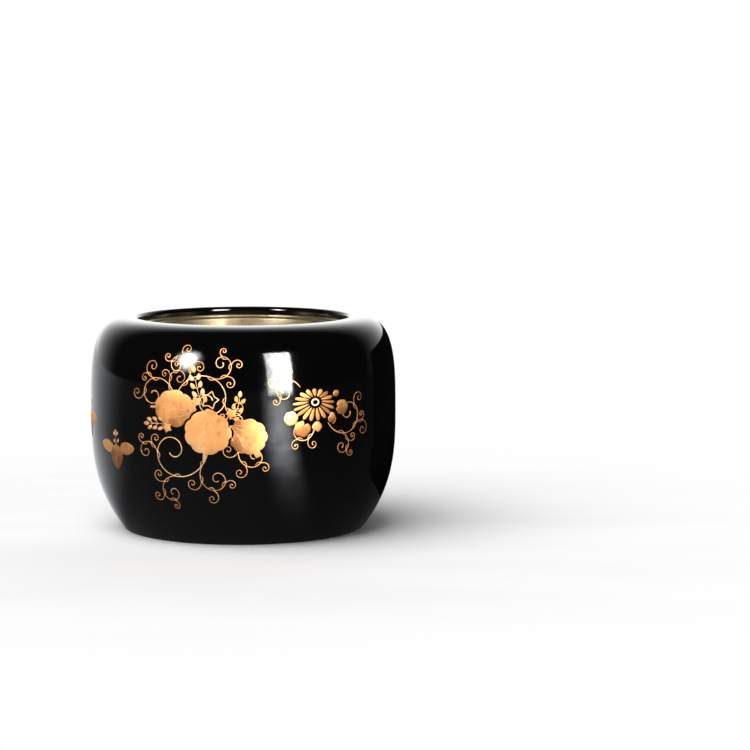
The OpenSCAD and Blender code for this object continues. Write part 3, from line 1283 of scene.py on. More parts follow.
@dataclass
class LeafAndBudSpray:
    """Three broad scalloped leaves under three spikes of buds, with scrolls that grow from behind them."""

    left_leaf: tuple[float, float] = (-60.5, 17.5)
    middle_leaf: tuple[float, float] = (-27.0, -4.5)
    right_leaf: tuple[float, float] = (11.5, -8.0)
    lobes: int = 9
    depth: float = 0.09

    def draw(self, brush: GoldBrush) -> None:
        """Draws the whole spray."""
        self.draw_leaves(brush)
        self.draw_buds(brush)
        brush.scroll(brush.line(*self.left_leaf, 90, tone=0.8), Turn.RIGHT, 36)
        brush.scroll(brush.line(*self.left_leaf, 75, tone=0.5), Turn.LEFT, 26)
        brush.scroll(brush.line(*self.middle_leaf, -75, tone=0.75), Turn.RIGHT, 40)
        brush.scroll(brush.line(*self.right_leaf, -150, tone=0.6), Turn.LEFT, 20)

    def draw_leaves(self, brush: GoldBrush) -> None:
        """Draws the three leaves, the middle one over the others with a thin dark gap round it."""
        middle = self.leaf_outline(23.6, 21.5, 28.8, 1.6, -98, 90)
        left = self.leaf_outline(21.5, 18.2, 27, 1.2, 179, -5)
        right = self.leaf_outline(19, 17.5, 22.5, 3.2, -62, 125)
        shade = middle * 1.05 + self.middle_leaf
        left = stopped_short(left, self.left_leaf, shade)
        right = stopped_short(right, self.right_leaf, shade)
        brush.leaf(*self.left_leaf, left, tone=0.34, bokashi_and_top_light=0.2)
        brush.leaf(*self.right_leaf, right, tone=0.30, bokashi_and_top_light=0.05, bokashi_and_right_light=0.34)
        brush.leaf(*self.middle_leaf, middle, tone=0.46, bokashi_and_top_light=-0.2, bokashi_and_right_light=-0.08)
        brush.veins((-41, 15.5), (-82, 17.5), 21)
        brush.veins((-5.5, 3), (19, -24), 17)
        brush.veins((-28.5, 15), (-31, -28), 25)

    def leaf_outline(self, half_w: float, half_h: float, reach: float, tip_w: float, tip: float,
                     base: float) -> np.ndarray:
        """Outline of one broad leaf, with a narrow tip and a short point where it joins its stalk.

        Args:
            half_w: Half its width in millimetres.
            half_h: Half its height.
            reach: Distance of the tip from the centre.
            tip_w: Half the tip's width.
            tip: Direction of the tip, in degrees.
            base: Direction of the stalk.

        Returns:
            The outline, round its own centre.
        """
        blade = scalloped(half_w, half_h, self.lobes, self.depth)
        away = np.degrees(np.arctan2(blade[:, 1], blade[:, 0])) - base
        away = np.abs((away + 180) % 360 - 180)
        blade *= (1 + 0.10 * np.clip(1 - away / 34, 0, 1) ** 1.5)[:, None]
        return with_tip(blade, reach, tip_w, math.radians(tip))

    def draw_buds(self, brush: GoldBrush) -> None:
        """Draws the three bud spikes and the small blossoms at their feet."""
        middle = brush.draw(brush.line(-31, 20, 112, 0.6).wind(Turn.RIGHT, 160, 160, 12))
        brush.spike(middle, 4, 6.4, 4.1, 5.7)
        right = brush.draw(brush.line(-6, 8, 42, 0.6).wind(Turn.LEFT, 30, 30, 46))
        brush.spike(right, 3, 5.6, 3.5, 5.2)
        left = brush.draw(brush.line(-70, 2, 176, 0.6).wind(Turn.LEFT, 120, 120, 9))
        brush.spike(left, 3, 5.6, 3.5, 5.9)
        for u, v in ((-38, 25), (-4, 14), (-68, -1)):
            brush.mark(brush.gold.blossoms, u, v, 20, 10, 10, 0.6)
        brush.ring(-24.5, 26.5, starry(8.6, 5, 0.36, 75), 0.9)


@dataclass
class ManyPetalledFlower:
    """A flower of many petals seen a little from the side, with rounded leaves and scrolls."""

    u: float = 77.0
    v: float = 20.0
    petals: int = 17
    half_w: float = 22.5
    half_h: float = 15.5
    heart: float = 4.4
    pointed_leaves: bool = False
    SCROLL_START: ClassVar[float] = 1.3

    def draw(self, brush: GoldBrush) -> None:
        """Draws the flower, its leaves and its scrolls."""
        heart_u, heart_v = self.u + 1, self.v + 2.5
        for i in range(self.petals):
            angle = math.tau * (i + 0.25) / self.petals
            base_u = heart_u + 1.55 * self.heart * math.cos(angle)
            base_v = heart_v + 1.25 * self.heart * math.sin(angle)
            tip_u = self.u + self.half_w * math.cos(angle)
            tip_v = self.v + self.half_h * math.sin(angle)
            long = math.hypot(tip_u - base_u, tip_v - base_v)
            heading = math.degrees(math.atan2(tip_v - base_v, tip_u - base_u))
            wide = math.tau * math.hypot(self.half_w * math.sin(angle), self.half_h * math.cos(angle))
            # Petal tone: the sine term varies it at random; the cosine term is painted light, darker petals
            # on the flower's right and paler ones on its left.
            brush.mark(brush.gold.petals, base_u, base_v, heading, long, 0.68 * wide / self.petals,
                       0.27 + 0.12 * math.sin(2.4 * i) - 0.12 * math.cos(angle))
        brush.ring(heart_u, heart_v, scalloped(self.heart * 0.8, self.heart * 0.66, 12, 0.02, 72), 1.6, 1.0)
        if self.pointed_leaves:
            self.draw_pointed_leaves(brush)
        else:
            self.draw_round_leaves(brush)
        self.draw_scrolls(brush)

    def draw_round_leaves(self, brush: GoldBrush) -> None:
        """Draws the rounded leaves below and beside the flower."""
        brush.leaf(52.8, 8.2, scalloped(7.4, 7, 6, 0.08, 90), 10, tone=0.6)
        brush.leaf(64.5, -2.2, notched(scalloped(8.8, 8.2, 5, 0.1, 120), 62, 0.55, 14), 0, tone=0.22)
        brush.leaf(79.8, -1, notched(scalloped(5.4, 5.2, 4, 0.1, 90), 250, 0.25, 20), 0, tone=0.4)
        brush.leaf(96, 7, notched(scalloped(4.2, 5.2, 3, 0.08, 80), 160, 0.3, 30), -20, tone=0.2)
        brush.leaf(108.5, 16, notched(scalloped(7.6, 7.4, 6, 0.07, 110), 172, 0.4, 11), 0, tone=0.25)
        brush.leaf(101.5, 29.5, scalloped(3.8, 3.1, 4, 0.1, 60), 25, tone=0.2)
        brush.draw(brush.line(97, 1, 10, 0.8, 0.2).wind(Turn.LEFT, 5, 2.4, 230))

    def draw_pointed_leaves(self, brush: GoldBrush) -> None:
        """Draws the toothed leaves either side of the flower."""
        for u, v, turn, long in ((-26, 0, 188, 21), (-23, -12, 214, 19), (-20, 12, 160, 17),
                                 (20, -14, -38, 20), (28, -5, -12, 18)):
            brush.leaf(self.u + u, self.v + v, pointed(long, long * 0.46, 1.35, 14), turn, tone=0.42)
            spin = math.radians(turn)
            half = long * 0.42
            root = (self.u + u - half * math.cos(spin), self.v + v - half * math.sin(spin))
            middle = brush.line(*root, turn - 4, 0.5, 1.0)
            brush.draw(middle.wind(Turn.LEFT, long * 6, long * 6, 8), lift=brush.RELIEF)

    def draw_scrolls(self, brush: GoldBrush) -> None:
        """Draws the scrolls that leave the flower's rim, each straight away from its middle."""
        for angle, way, wide, tone in ((120, Turn.LEFT, 16, 0.75), (-60, Turn.LEFT, 26, 0.5),
                                       (-90, Turn.RIGHT, 15, 0.7)):
            spin = math.radians(angle)
            start_u = self.u + self.SCROLL_START * self.half_w * math.cos(spin)
            start_v = self.v + self.SCROLL_START * self.half_h * math.sin(spin)
            brush.scroll(brush.line(start_u, start_v, angle, tone=tone), way, wide)


@dataclass
class ThreeLeafSprig:
    """A small sprig: two side leaves, a pointed one between them, and a spike of buds."""

    u: float = -136.0
    v: float = -25.0

    def draw(self, brush: GoldBrush) -> None:
        """Draws the sprig."""
        brush.leaf(self.u - 17, self.v - 0.5, pointed(23, 12, 1.05), 170, tone=0.64, bokashi_and_top_light=0.1)
        brush.leaf(self.u + 17, self.v - 0.5, pointed(21, 12.5, 1.05), 4, tone=0.34, bokashi_and_top_light=0.1)
        brush.leaf(self.u - 0.5, self.v - 10, pointed(25, 20, 1.3), -92, tone=0.12, bokashi_and_top_light=0.2)
        brush.veins((self.u, self.v), (self.u - 1, self.v - 20), 9)
        stalk = brush.draw(brush.line(self.u, self.v + 2, 92, 0.8, 0.3).wind(Turn.LEFT, 120, 120, 5))
        brush.spike(stalk, 2, 3.8, 2.5, 3.9)


@dataclass
class FanSprig:
    """A fan-shaped leaf hanging under fine converging lines."""

    u: float = -386.0
    v: float = 10.0
    ribs: int = 7

    def draw(self, brush: GoldBrush) -> None:
        """Draws the fan, its threads and its foot."""
        brush.leaf(self.u, self.v - 12, scalloped(13, 9, 6, 0.12, 120), tone=0.45)
        for i in range(self.ribs):
            share = i / (self.ribs - 1) - 0.5
            foot = (self.u + 22 * share, self.v - 5 - 4 * share ** 2)
            top = (self.u + 2.5 * share, self.v + 24)
            points = [(foot[0] + (top[0] - foot[0]) * t, foot[1] + (top[1] - foot[1]) * t)
                      for t in (0, 0.3, 0.6, 1)]
            brush.draw(Line(points, 0.0, 0.75))
        brush.mark(brush.gold.blossoms, self.u, self.v + 26, 0, 7, 7, 0.6)


# --------------------------------------------------------------------------------------------------
# The gold, laid on the side
# --------------------------------------------------------------------------------------------------


class SideWrap:
    """Recipes that lay flat gold on the bowl's side."""

    LENS_POINTS = 6
    LENS_FLATNESS = 0.27

    def __init__(self, outline: Points, belly_r: float, belly_z: float) -> None:
        """Draws the helper outline and builds the recipes.

        Args:
            outline: The side's outline in metres, from foot to crest.
            belly_r: Radius of the belly, which u is measured on.
            belly_z: Height of the belly, which v is measured from.
        """
        mesh = bpy.data.meshes.new("side_outline")
        mesh.from_pydata([(r, 0.0, z) for r, z in outline], [(i, i + 1) for i in range(len(outline) - 1)], [])
        self.helper = bpy.data.objects.new("side_outline", mesh)
        bpy.context.scene.collection.objects.link(self.helper)
        below = np.array([point for point in outline if point[1] <= belly_z + 1e-9])
        self.belly_run = float(np.hypot(*np.diff(below, axis=0).T).sum())
        self.belly_r = belly_r
        self.wrap = self.make_wrap()
        self.brushed = self.make_brushed()
        self.laid = self.make_laid()
        self.repeated = self.make_repeated()

    SHARED = {"Side": ("NodeSocketObject", None), "Belly Run": ("NodeSocketFloat", 0.1),
              "Belly Radius": ("NodeSocketFloat", 0.15), "Material": ("NodeSocketMaterial", None)}

    def make_wrap(self) -> bpy.types.NodeTree:
        """Builds the group that moves (u, v, height) to the bowl's side and dresses the result."""
        tree, sketch, given, result = new_recipe("Wrapped round the side", self.SHARED)
        side = sketch.add("GeometryNodeObjectInfo", {"Object": given.outputs["Side"]}).outputs["Geometry"]
        rail = sketch.add("GeometryNodeMeshToCurve", {"Mesh": side}).outputs[0]
        flat = sketch.add("ShaderNodeSeparateXYZ", {0: sketch.add("GeometryNodeInputPosition").outputs[0]})
        run = sketch.math("ADD", flat.outputs["Y"], given.outputs["Belly Run"])
        inputs = {"Curves": rail, "Length": run}
        sample = sketch.add("GeometryNodeSampleCurve", inputs, mode="LENGTH", use_all_curves=True)
        at = sketch.add("ShaderNodeSeparateXYZ", {0: sample.outputs["Position"]})
        along = sketch.add("ShaderNodeSeparateXYZ", {0: sample.outputs["Tangent"]})
        height = flat.outputs["Z"]
        radius = sketch.math("MULTIPLY_ADD", along.outputs["Z"], height, at.outputs["X"])
        drop = sketch.math("MULTIPLY", along.outputs["X"], height)
        rise = sketch.math("SUBTRACT", at.outputs["Z"], drop)
        angle = sketch.math("DIVIDE", flat.outputs["X"], given.outputs["Belly Radius"])
        x = sketch.math("MULTIPLY", radius, sketch.math("SINE", angle))
        y = sketch.math("MULTIPLY", radius, sketch.math("COSINE", angle))
        y = sketch.math("MULTIPLY", y, -1.0)
        place = sketch.add("ShaderNodeCombineXYZ", {0: x, 1: y, 2: rise}).outputs[0]
        inputs = {"Geometry": given.outputs["Geometry"], "Position": place}
        wrapped = sketch.add("GeometryNodeSetPosition", inputs).outputs[0]
        shaded = finish_edges(sketch, wrapped, math.radians(60))
        inputs = {"Geometry": shaded, "Material": given.outputs["Material"]}
        dressed = sketch.add("GeometryNodeSetMaterial", inputs)
        tree.links.new(dressed.outputs[0], result.inputs["Geometry"])
        return tree

    def wrapped(self, sketch: NodeSketch, given: bpy.types.Node, flat: object) -> bpy.types.NodeSocket:
        """Adds the wrapping group to a recipe, fed with the recipe's own inputs."""
        node = sketch.add("GeometryNodeGroup", node_tree=self.wrap)
        sketch.tree.links.new(flat, node.inputs["Geometry"])
        for label in self.SHARED:
            sketch.tree.links.new(given.outputs[label], node.inputs[label])
        return node.outputs[0]

    def named(self, sketch: NodeSketch, label: str) -> bpy.types.NodeSocket:
        """Reads a number that each point carries."""
        node = sketch.add("GeometryNodeInputNamedAttribute", {"Name": label}, data_type="FLOAT")
        return node.outputs["Attribute"]

    def make_brushed(self) -> bpy.types.NodeTree:
        """Builds the recipe for lines: a flat lens swept along each one, then wrapped."""
        tree, sketch, given, result = new_recipe("Brushed lines", self.SHARED)
        curves = sketch.add("GeometryNodeMeshToCurve", {"Mesh": given.outputs["Geometry"]}).outputs[0]
        upright = sketch.add("GeometryNodeSetCurveNormal", {"Curve": curves}, mode="Z_UP").outputs[0]
        inputs = {"Resolution": self.LENS_POINTS, "Radius": 0.5}
        circle = sketch.add("GeometryNodeCurvePrimitiveCircle", inputs)
        axes = sketch.add("ShaderNodeSeparateXYZ", {0: sketch.add("GeometryNodeInputPosition").outputs[0]})
        tall = sketch.math("MULTIPLY", axes.outputs["Y"], self.LENS_FLATNESS)
        lens = sketch.add("ShaderNodeCombineXYZ", {0: axes.outputs["X"], 1: tall}).outputs[0]
        inputs = {"Geometry": circle.outputs[0], "Position": lens}
        profile = sketch.add("GeometryNodeSetPosition", inputs).outputs[0]
        width = self.named(sketch, "width")
        inputs = {"Curve": upright, "Profile Curve": profile, "Scale": width, "Fill Caps": True}
        swept = sketch.add("GeometryNodeCurveToMesh", inputs).outputs[0]
        whole = sketch.add("GeometryNodeRealizeInstances", {"Geometry": swept}).outputs[0]
        tree.links.new(self.wrapped(sketch, given, whole), result.inputs["Geometry"])
        return tree

    def make_laid(self) -> bpy.types.NodeTree:
        """Builds the recipe for leaves, which only wraps them."""
        tree, sketch, given, result = new_recipe("Laid leaves", self.SHARED)
        inputs = {"Geometry": given.outputs["Geometry"]}
        whole = sketch.add("GeometryNodeRealizeInstances", inputs).outputs[0]
        tree.links.new(self.wrapped(sketch, given, whole), result.inputs["Geometry"])
        return tree

    def make_repeated(self) -> bpy.types.NodeTree:
        """Builds the recipe for petals, buds and blossoms: one shape set at every point, then wrapped."""
        sockets = self.SHARED | {"Shape": ("NodeSocketObject", None)}
        tree, sketch, given, result = new_recipe("Set at points", sockets)
        shape = sketch.add("GeometryNodeObjectInfo", {"Object": given.outputs["Shape"], "As Instance": True})
        spin = sketch.add("ShaderNodeCombineXYZ", {2: self.named(sketch, "spin")}).outputs[0]
        long, wide = self.named(sketch, "long"), self.named(sketch, "wide")
        scale = sketch.add("ShaderNodeCombineXYZ", {0: long, 1: wide, 2: 1.0}).outputs[0]
        points = sketch.add("GeometryNodeMeshToPoints", {"Mesh": given.outputs["Geometry"]}).outputs[0]
        inputs = {"Points": points, "Instance": shape.outputs["Geometry"], "Rotation": spin, "Scale": scale}
        placed = sketch.add("GeometryNodeInstanceOnPoints", inputs).outputs[0]
        whole = sketch.add("GeometryNodeRealizeInstances", {"Geometry": placed}).outputs[0]
        tree.links.new(self.wrapped(sketch, given, whole), result.inputs["Geometry"])
        return tree

    def inputs(self, finish: GoldPowder) -> dict[str, object]:
        """Values of the inputs that every recipe shares."""
        return {"Side": self.helper, "Belly_Run": self.belly_run, "Belly_Radius": self.belly_r,
                "Material": finish.material}

    def clear(self) -> None:
        """Removes the helper outline."""
        bpy.data.objects.remove(self.helper)


def carried(mesh: bpy.types.Mesh, **values: Sequence[float]) -> bpy.types.Mesh:
    """Gives each point of a mesh its own numbers, by name."""
    for label, numbers in values.items():
        mesh.attributes.new(label, "FLOAT", "POINT").data.foreach_set("value", np.array(numbers, np.float32))
    return mesh


def brush_widths(points: np.ndarray, width: float) -> np.ndarray:
    """Width along a line: the brush lands softly and leaves a small drop at the end.

    Args:
        points: The line's points in millimetres.
        width: Its usual width.

    Returns:
        The width at every point.
    """
    steps = np.hypot(*np.diff(points, axis=0).T)
    run = np.concatenate([[0.0], np.cumsum(steps)])
    left = run[-1] - run
    landing = 0.6 + 0.4 * np.clip(run / 3, 0, 1)
    drop = 1 + 0.55 * np.exp(-((left - 1.2) / 1.1) ** 2)
    swell = 1 + 0.12 * np.sin(run / 7.0)
    end = np.clip(0.35 + left / 0.8, 0, 1)
    return width * landing * drop * swell * end


@dataclass
class GoldDecoration:
    """All the gold on the bowl's side, drawn in groups and laid as one piece for each kind of shape."""

    wrap: SideWrap
    finish: GoldPowder
    front: FlatGold = field(default_factory=FlatGold)
    back: FlatGold = field(default_factory=FlatGold)

    def draw(self) -> None:
        """Draws the groups of the front, then those of the back."""
        brush = GoldBrush(self.front, Placement())
        LeafAndBudSpray().draw(brush)
        ManyPetalledFlower().draw(brush)
        ThreeLeafSprig().draw(brush)
        LeafAndBudSpray().draw(GoldBrush(self.back, Placement(400, True)))
        ManyPetalledFlower().draw(GoldBrush(self.back, Placement(-205, True)))
        ThreeLeafSprig(v=-2).draw(GoldBrush(self.back, Placement(-71)))
        ManyPetalledFlower(u=75, v=16, petals=15, half_w=20, half_h=17, pointed_leaves=True).draw(
            GoldBrush(self.back, Placement(212)))
        FanSprig().draw(GoldBrush(self.back, Placement()))

    def brushed_mesh(self, gold: FlatGold) -> bpy.types.Mesh:
        """Makes chains of edges that carry the lines' widths and tones."""
        vertices, edges, widths, tones = [], [], [], []
        for stroke in gold.lines:
            first = len(vertices)
            count = len(stroke.points)
            vertices += [(u * MM, v * MM, stroke.lift * MM) for u, v in stroke.points.tolist()]
            edges += [(first + i, first + i + 1) for i in range(count - 1)]
            if stroke.ring:
                edges.append((first + count - 1, first))
                widths += [stroke.width] * count
            else:
                widths += brush_widths(stroke.points, stroke.width).tolist()
            tones += [stroke.tone] * count
        mesh = bpy.data.meshes.new("brushed_lines")
        mesh.from_pydata(vertices, edges, [])
        return carried(mesh, width=np.array(widths) * MM, tone=tones)

    def laid_mesh(self, gold: FlatGold) -> bpy.types.Mesh:
        """Makes the flat leaves."""
        mesh = bpy.data.meshes.new("laid_leaves")
        mesh.from_pydata([tuple(c * MM for c in point) for point in gold.vertices], [], gold.faces)
        return carried(mesh, tone=gold.tones)

    def repeated_mesh(self, places: Sequence[tuple[float, ...]]) -> bpy.types.Mesh:
        """Makes the points that a repeated shape is set at."""
        table = np.array(places)
        mesh = bpy.data.meshes.new("places")
        mesh.from_pydata([(u * MM, v * MM, 0.0) for u, v in table[:, :2].tolist()], [], [])
        spin, long, wide, tone = table[:, 2:].T
        return carried(mesh, spin=spin, long=long * MM, wide=wide * MM, tone=tone)

    def shape(self, name: str, outline: np.ndarray, ahead: float) -> bpy.types.Object:
        """Makes one shape of unit size to repeat, domed and closed underneath.

        Args:
            name: Name of the shape.
            outline: Its outline, round its own centre.
            ahead: How far its centre lies from the point that it is set at.

        Returns:
            The shape.
        """
        gold = FlatGold()
        GoldBrush(gold, Placement()).leaf(ahead, 0, outline)
        mesh = bpy.data.meshes.new(name)
        mesh.from_pydata([(x, y, h * MM) for x, y, h in gold.vertices], [], gold.faces)
        piece = bpy.data.objects.new(name, mesh)
        bpy.context.scene.collection.objects.link(piece)
        return piece

    def build(self) -> None:
        """Lays every kind of gold and lets it ride on the bowl."""
        self.draw()
        share = self.wrap.inputs(self.finish)
        pieces = []
        for side, gold in (("front", self.front), ("back", self.back)):
            lines, leaves = self.brushed_mesh(gold), self.laid_mesh(gold)
            pieces.append(follow_recipe(f"gold_lines_{side}", lines, self.wrap.brushed, **share))
            pieces.append(follow_recipe(f"gold_leaves_{side}", leaves, self.wrap.laid, **share))
        turn = np.linspace(0, math.tau, 32, endpoint=False)
        along = (1 - np.cos(turn)) / 2
        side = np.sign(np.sin(turn)) * np.abs(np.sin(turn)) ** 0.8
        petal = np.column_stack([along - 0.5, -0.5 * side * (0.42 + 0.58 * along)])
        shapes = {"petals": (petal, 0.5), "buds": (pointed(1.0, 1.0, 1.05, count=28), 0.0),
                  "blossoms": (starry(0.56, 5, 0.36, 20, 50), 0.0)}
        for kind, (outline, ahead) in shapes.items():
            places = getattr(self.front, kind) + getattr(self.back, kind)
            shape = self.shape(f"one_{kind}", outline, ahead)
            mesh = self.repeated_mesh(places)
            pieces.append(follow_recipe(f"gold_{kind}", mesh, self.wrap.repeated, Shape=shape, **share))
            bpy.data.objects.remove(shape)
        self.wrap.clear()
        for piece in pieces:
            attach(piece, Body.BOWL.value)
            LOG.info("%s: %d faces", piece.name, len(piece.data.polygons))


# --------------------------------------------------------------------------------------------------
# The studio
# --------------------------------------------------------------------------------------------------


def heading_vector(azimuth: float, elevation: float) -> Vector:
    """Direction from an azimuth, from -Y towards +X, and an elevation, both in degrees."""
    a, e = math.radians(azimuth), math.radians(elevation)
    return Vector((math.sin(a) * math.cos(e), -math.cos(a) * math.cos(e), math.sin(e)))


@dataclass(frozen=True)
class Panel:
    """A glowing panel in front of the bowl, placed where its reflection falls."""

    name: str
    facing: tuple[float, float, float]
    azimuth: float
    elevation: float
    size: tuple[float, float]
    strength: float
    round_face: bool = False
    away: float = 1.5


@dataclass
class Studio:
    """Pale floor, pale backdrop, lamps in front, a dark flag on the right, and the camera."""

    camera_place: tuple[float, float, float] = (0.131, -2.58, 0.44)
    camera_pitch: float = -6.4
    lens: float = 125.0
    flag_place: tuple[float, float] = (0.292, 0.165)
    flag_r: float = 0.15
    flag_h: float = 0.21
    flag_sides: int = 48

    def build(self) -> None:
        """Sets up the floor, the room, the lamps, the flag and the camera."""
        self.make_floor()
        self.make_room()
        self.make_sky_lamp()
        self.make_panel(Panel("round_lamp", (-0.044, -0.140, 0.181), -41, 21, (0.74, 0.96), 70, True))
        self.make_panel(Panel("softbox", (0.040, -0.143, 0.165), 30, 15, (0.60, 1.08), 34))
        self.make_flag()
        self.make_camera()
        LOG.info("studio ready")

    def stage_material(self, name: str) -> tuple[bpy.types.Material, NodeSketch, bpy.types.Node, object]:
        """Starts a material for the studio.

        Args:
            name: Its name.

        Returns:
            The material, its sketch, its output node and its Object co-ordinates.
        """
        material = bpy.data.materials.new(name)
        material.use_nodes = True
        material.node_tree.nodes.clear()
        sketch = NodeSketch(material.node_tree)
        output = sketch.add("ShaderNodeOutputMaterial")
        return material, sketch, output, sketch.add("ShaderNodeTexCoord").outputs["Object"]

    def stage_piece(self, name: str, vertices: list, faces: list,
                    material: bpy.types.Material) -> bpy.types.Object:
        """Makes a piece of the studio from its corners and faces."""
        mesh = bpy.data.meshes.new(name)
        mesh.from_pydata(vertices, [], faces)
        mesh.materials.append(material)
        piece = bpy.data.objects.new(name, mesh)
        bpy.context.scene.collection.objects.link(piece)
        return piece

    def make_floor(self) -> None:
        """Lays a large pale floor that to glossy rays glows as a painted reflection: dark in front, bright
        behind, dimmer to the right, with a painted streak of the softbox's light.
        """
        material, sketch, output, place = self.stage_material("pale_floor")
        cloud = sketch.noise(sketch.stretched(place, (1.6, 7.0, 1.0)), 1.0, 4, 0.5)
        cool, pale = flat_colour(0.90, 0.905, 0.91), flat_colour(0.96, 0.96, 0.96)
        colour = sketch.tint(sketch.span(cloud, 0.3, 0.7), cool, pale)
        paper = sketch.add("ShaderNodeBsdfDiffuse", {"Color": colour}).outputs[0]
        axes = sketch.add("ShaderNodeSeparateXYZ", {0: place})
        reach = sketch.add("ShaderNodeVectorMath", {0: place}, operation="LENGTH").outputs["Value"]
        inputs = {"Color": flat_colour(1.0, 1.0, 1.0), "Strength": 1.0}
        bright = sketch.add("ShaderNodeEmission", inputs).outputs[0]
        inputs = {0: sketch.span(reach, 0.2, 0.75), 1: paper, 2: bright}
        paper = sketch.add("ShaderNodeMixShader", inputs).outputs[0]
        # Painted reflection and shade: to glossy rays the floor glows by direction, brighter behind and to
        # the left near the bowl, painted darker to the right.
        behind = sketch.math("DIVIDE", axes.outputs["Y"], reach)
        aside = sketch.math("DIVIDE", axes.outputs["X"], reach)
        right = sketch.math("MAXIMUM", aside, 0.0)
        left = sketch.math("MAXIMUM", sketch.math("MULTIPLY", aside, -1.0), 0.0)
        behind = sketch.math("SUBTRACT", behind, sketch.math("MULTIPLY", right, 0.6))
        left = sketch.math("MULTIPLY", left, sketch.span(reach, 0.18, 0.9, 0.38, 0.0))
        behind = sketch.math("ADD", behind, left)
        near = sketch.span(reach, 0.15, 0.8, 0.102, 0.068)
        near = sketch.math("MULTIPLY", near, sketch.mix(right, 1.0, 0.4))
        behind = sketch.math("ADD", sketch.span(behind, 0.0, 0.97), near)
        painted_streak = self.painted_streak(sketch, place, axes)
        dim = sketch.math("ADD", behind, painted_streak)
        # Painted reflection: the floor glows only for glossy rays.
        mirrored = sketch.add("ShaderNodeEmission", {"Color": flat_colour(0.93, 0.96, 1.0), "Strength": dim})
        glossy = sketch.add("ShaderNodeLightPath").outputs["Is Glossy Ray"]
        both = sketch.add("ShaderNodeMixShader", {0: glossy, 1: paper, 2: mirrored.outputs[0]})
        sketch.tree.links.new(both.outputs[0], output.inputs["Surface"])
        reach = 9.0
        corners = [(-reach, -reach, 0), (reach, -reach, 0), (reach, reach, 0), (-reach, reach, 0)]
        self.stage_piece("studio_floor", corners, [(0, 1, 2, 3)], material)

    def painted_streak(self, sketch: NodeSketch, place: object, axes: bpy.types.Node) -> bpy.types.NodeSocket:
        """Makes the painted streak of the softbox's light on the floor in front of the bowl, a glow seen only
        in reflections.

        Args:
            sketch: The floor's sketch.
            place: Its Object co-ordinates.
            axes: The same, separated.

        Returns:
            The streak's strength.
        """
        way = heading_vector(28, 0)
        ahead = sketch.math("ADD", sketch.math("MULTIPLY", axes.outputs["X"], way.x),
                            sketch.math("MULTIPLY", axes.outputs["Y"], way.y))
        aside = sketch.math("SUBTRACT", sketch.math("MULTIPLY", axes.outputs["X"], -way.y),
                            sketch.math("MULTIPLY", axes.outputs["Y"], -way.x))
        turn = sketch.math("ABSOLUTE", sketch.math("DIVIDE", aside, ahead))
        across = sketch.span(turn, 0.0, 0.25, 1.0, 0.0)
        along = sketch.span(ahead, 0.12, 0.75, 0.0, 1.0)
        mottled = sketch.span(sketch.noise(place, 7.0, 5, 0.65), 0.3, 0.7, 0.5, 1.2)
        streak = sketch.math("MULTIPLY", across, along)
        return sketch.math("MULTIPLY", streak, sketch.math("MULTIPLY", mottled, 6.0))

    def make_room(self) -> None:
        """Makes the room white behind the bowl and dark in front of it, and white to the camera all round."""
        world = bpy.data.worlds.new("studio_room")
        world.use_nodes = True
        bpy.context.scene.world = world
        sketch = NodeSketch(world.node_tree)
        way = sketch.add("ShaderNodeTexCoord").outputs["Generated"]
        back = sketch.add("ShaderNodeSeparateXYZ", {0: way}).outputs["Y"]
        rise = sketch.math("DIVIDE", sketch.math("SUBTRACT", back, 0.3), 0.65)
        share = sketch.add("ShaderNodeClamp", {0: rise})
        white = sketch.math("MULTIPLY", sketch.math("POWER", share.outputs[0], 2.0), 1.75)
        white = sketch.math("ADD", white, 0.010)
        seen = sketch.add("ShaderNodeLightPath").outputs["Is Camera Ray"]
        strength = sketch.mix(seen, white, 1.0)
        background = world.node_tree.nodes["Background"]
        background.inputs["Color"].default_value = flat_colour(1.0, 1.0, 1.0)
        world.node_tree.links.new(strength, background.inputs["Strength"])

    def make_sky_lamp(self) -> None:
        """Lights the floor evenly from above, without a mirror image on the lacquer."""
        data = bpy.data.lights.new("sky_lamp", "SUN")
        data.energy = 3.15
        data.angle = math.radians(70)
        lamp = bpy.data.objects.new("sky_lamp", data)
        lamp.rotation_euler = (math.radians(17), math.radians(-25), 0)
        lamp.visible_glossy = False
        bpy.context.scene.collection.objects.link(lamp)

    def make_panel(self, panel: Panel) -> None:
        """Hangs one panel, which glows unevenly and fades towards its edge.

        Args:
            panel: The panel's sizes and place.
        """
        material, sketch, output, place = self.stage_material(panel.name)
        axes = sketch.add("ShaderNodeSeparateXYZ", {0: place})
        x = sketch.math("ABSOLUTE", axes.outputs["X"])
        y = sketch.math("ABSOLUTE", axes.outputs["Y"])
        if panel.round_face:
            square = sketch.math("ADD", sketch.math("POWER", x, 2.0), sketch.math("POWER", y, 2.0))
            reach = sketch.math("SQRT", square)
            ragged = sketch.math("SUBTRACT", sketch.noise(place, 2.6, 4, 0.6), 0.5)
            ragged = sketch.math("MULTIPLY", ragged, 0.5)
            glow = sketch.span(sketch.math("ADD", reach, ragged), 0.0, 1.0, 1.0, 0.0)
            share = sketch.math("POWER", glow, 2.2)
        else:
            patchy = sketch.span(sketch.noise(place, 2.2, 5, 0.7), 0.3, 0.62, 0.4, 1.0)
            patchy = sketch.math("MULTIPLY", patchy, sketch.span(axes.outputs["X"], -1.0, -0.2, 0.45, 1.0))
            ragged = sketch.math("MULTIPLY", sketch.noise(place, 6.0, 5, 0.7), 0.22)
            edge = sketch.math("ADD", sketch.math("MAXIMUM", x, y), ragged)
            share = sketch.math("MULTIPLY", sketch.span(edge, 0.92, 1.06, 1.0, 0.0), patchy)
        glow = sketch.add("ShaderNodeEmission", {"Strength": sketch.math("MULTIPLY", share, panel.strength)})
        sketch.tree.links.new(glow.outputs[0], output.inputs["Surface"])
        corners = [(-1, -1, 0), (1, -1, 0), (1, 1, 0), (-1, 1, 0)]
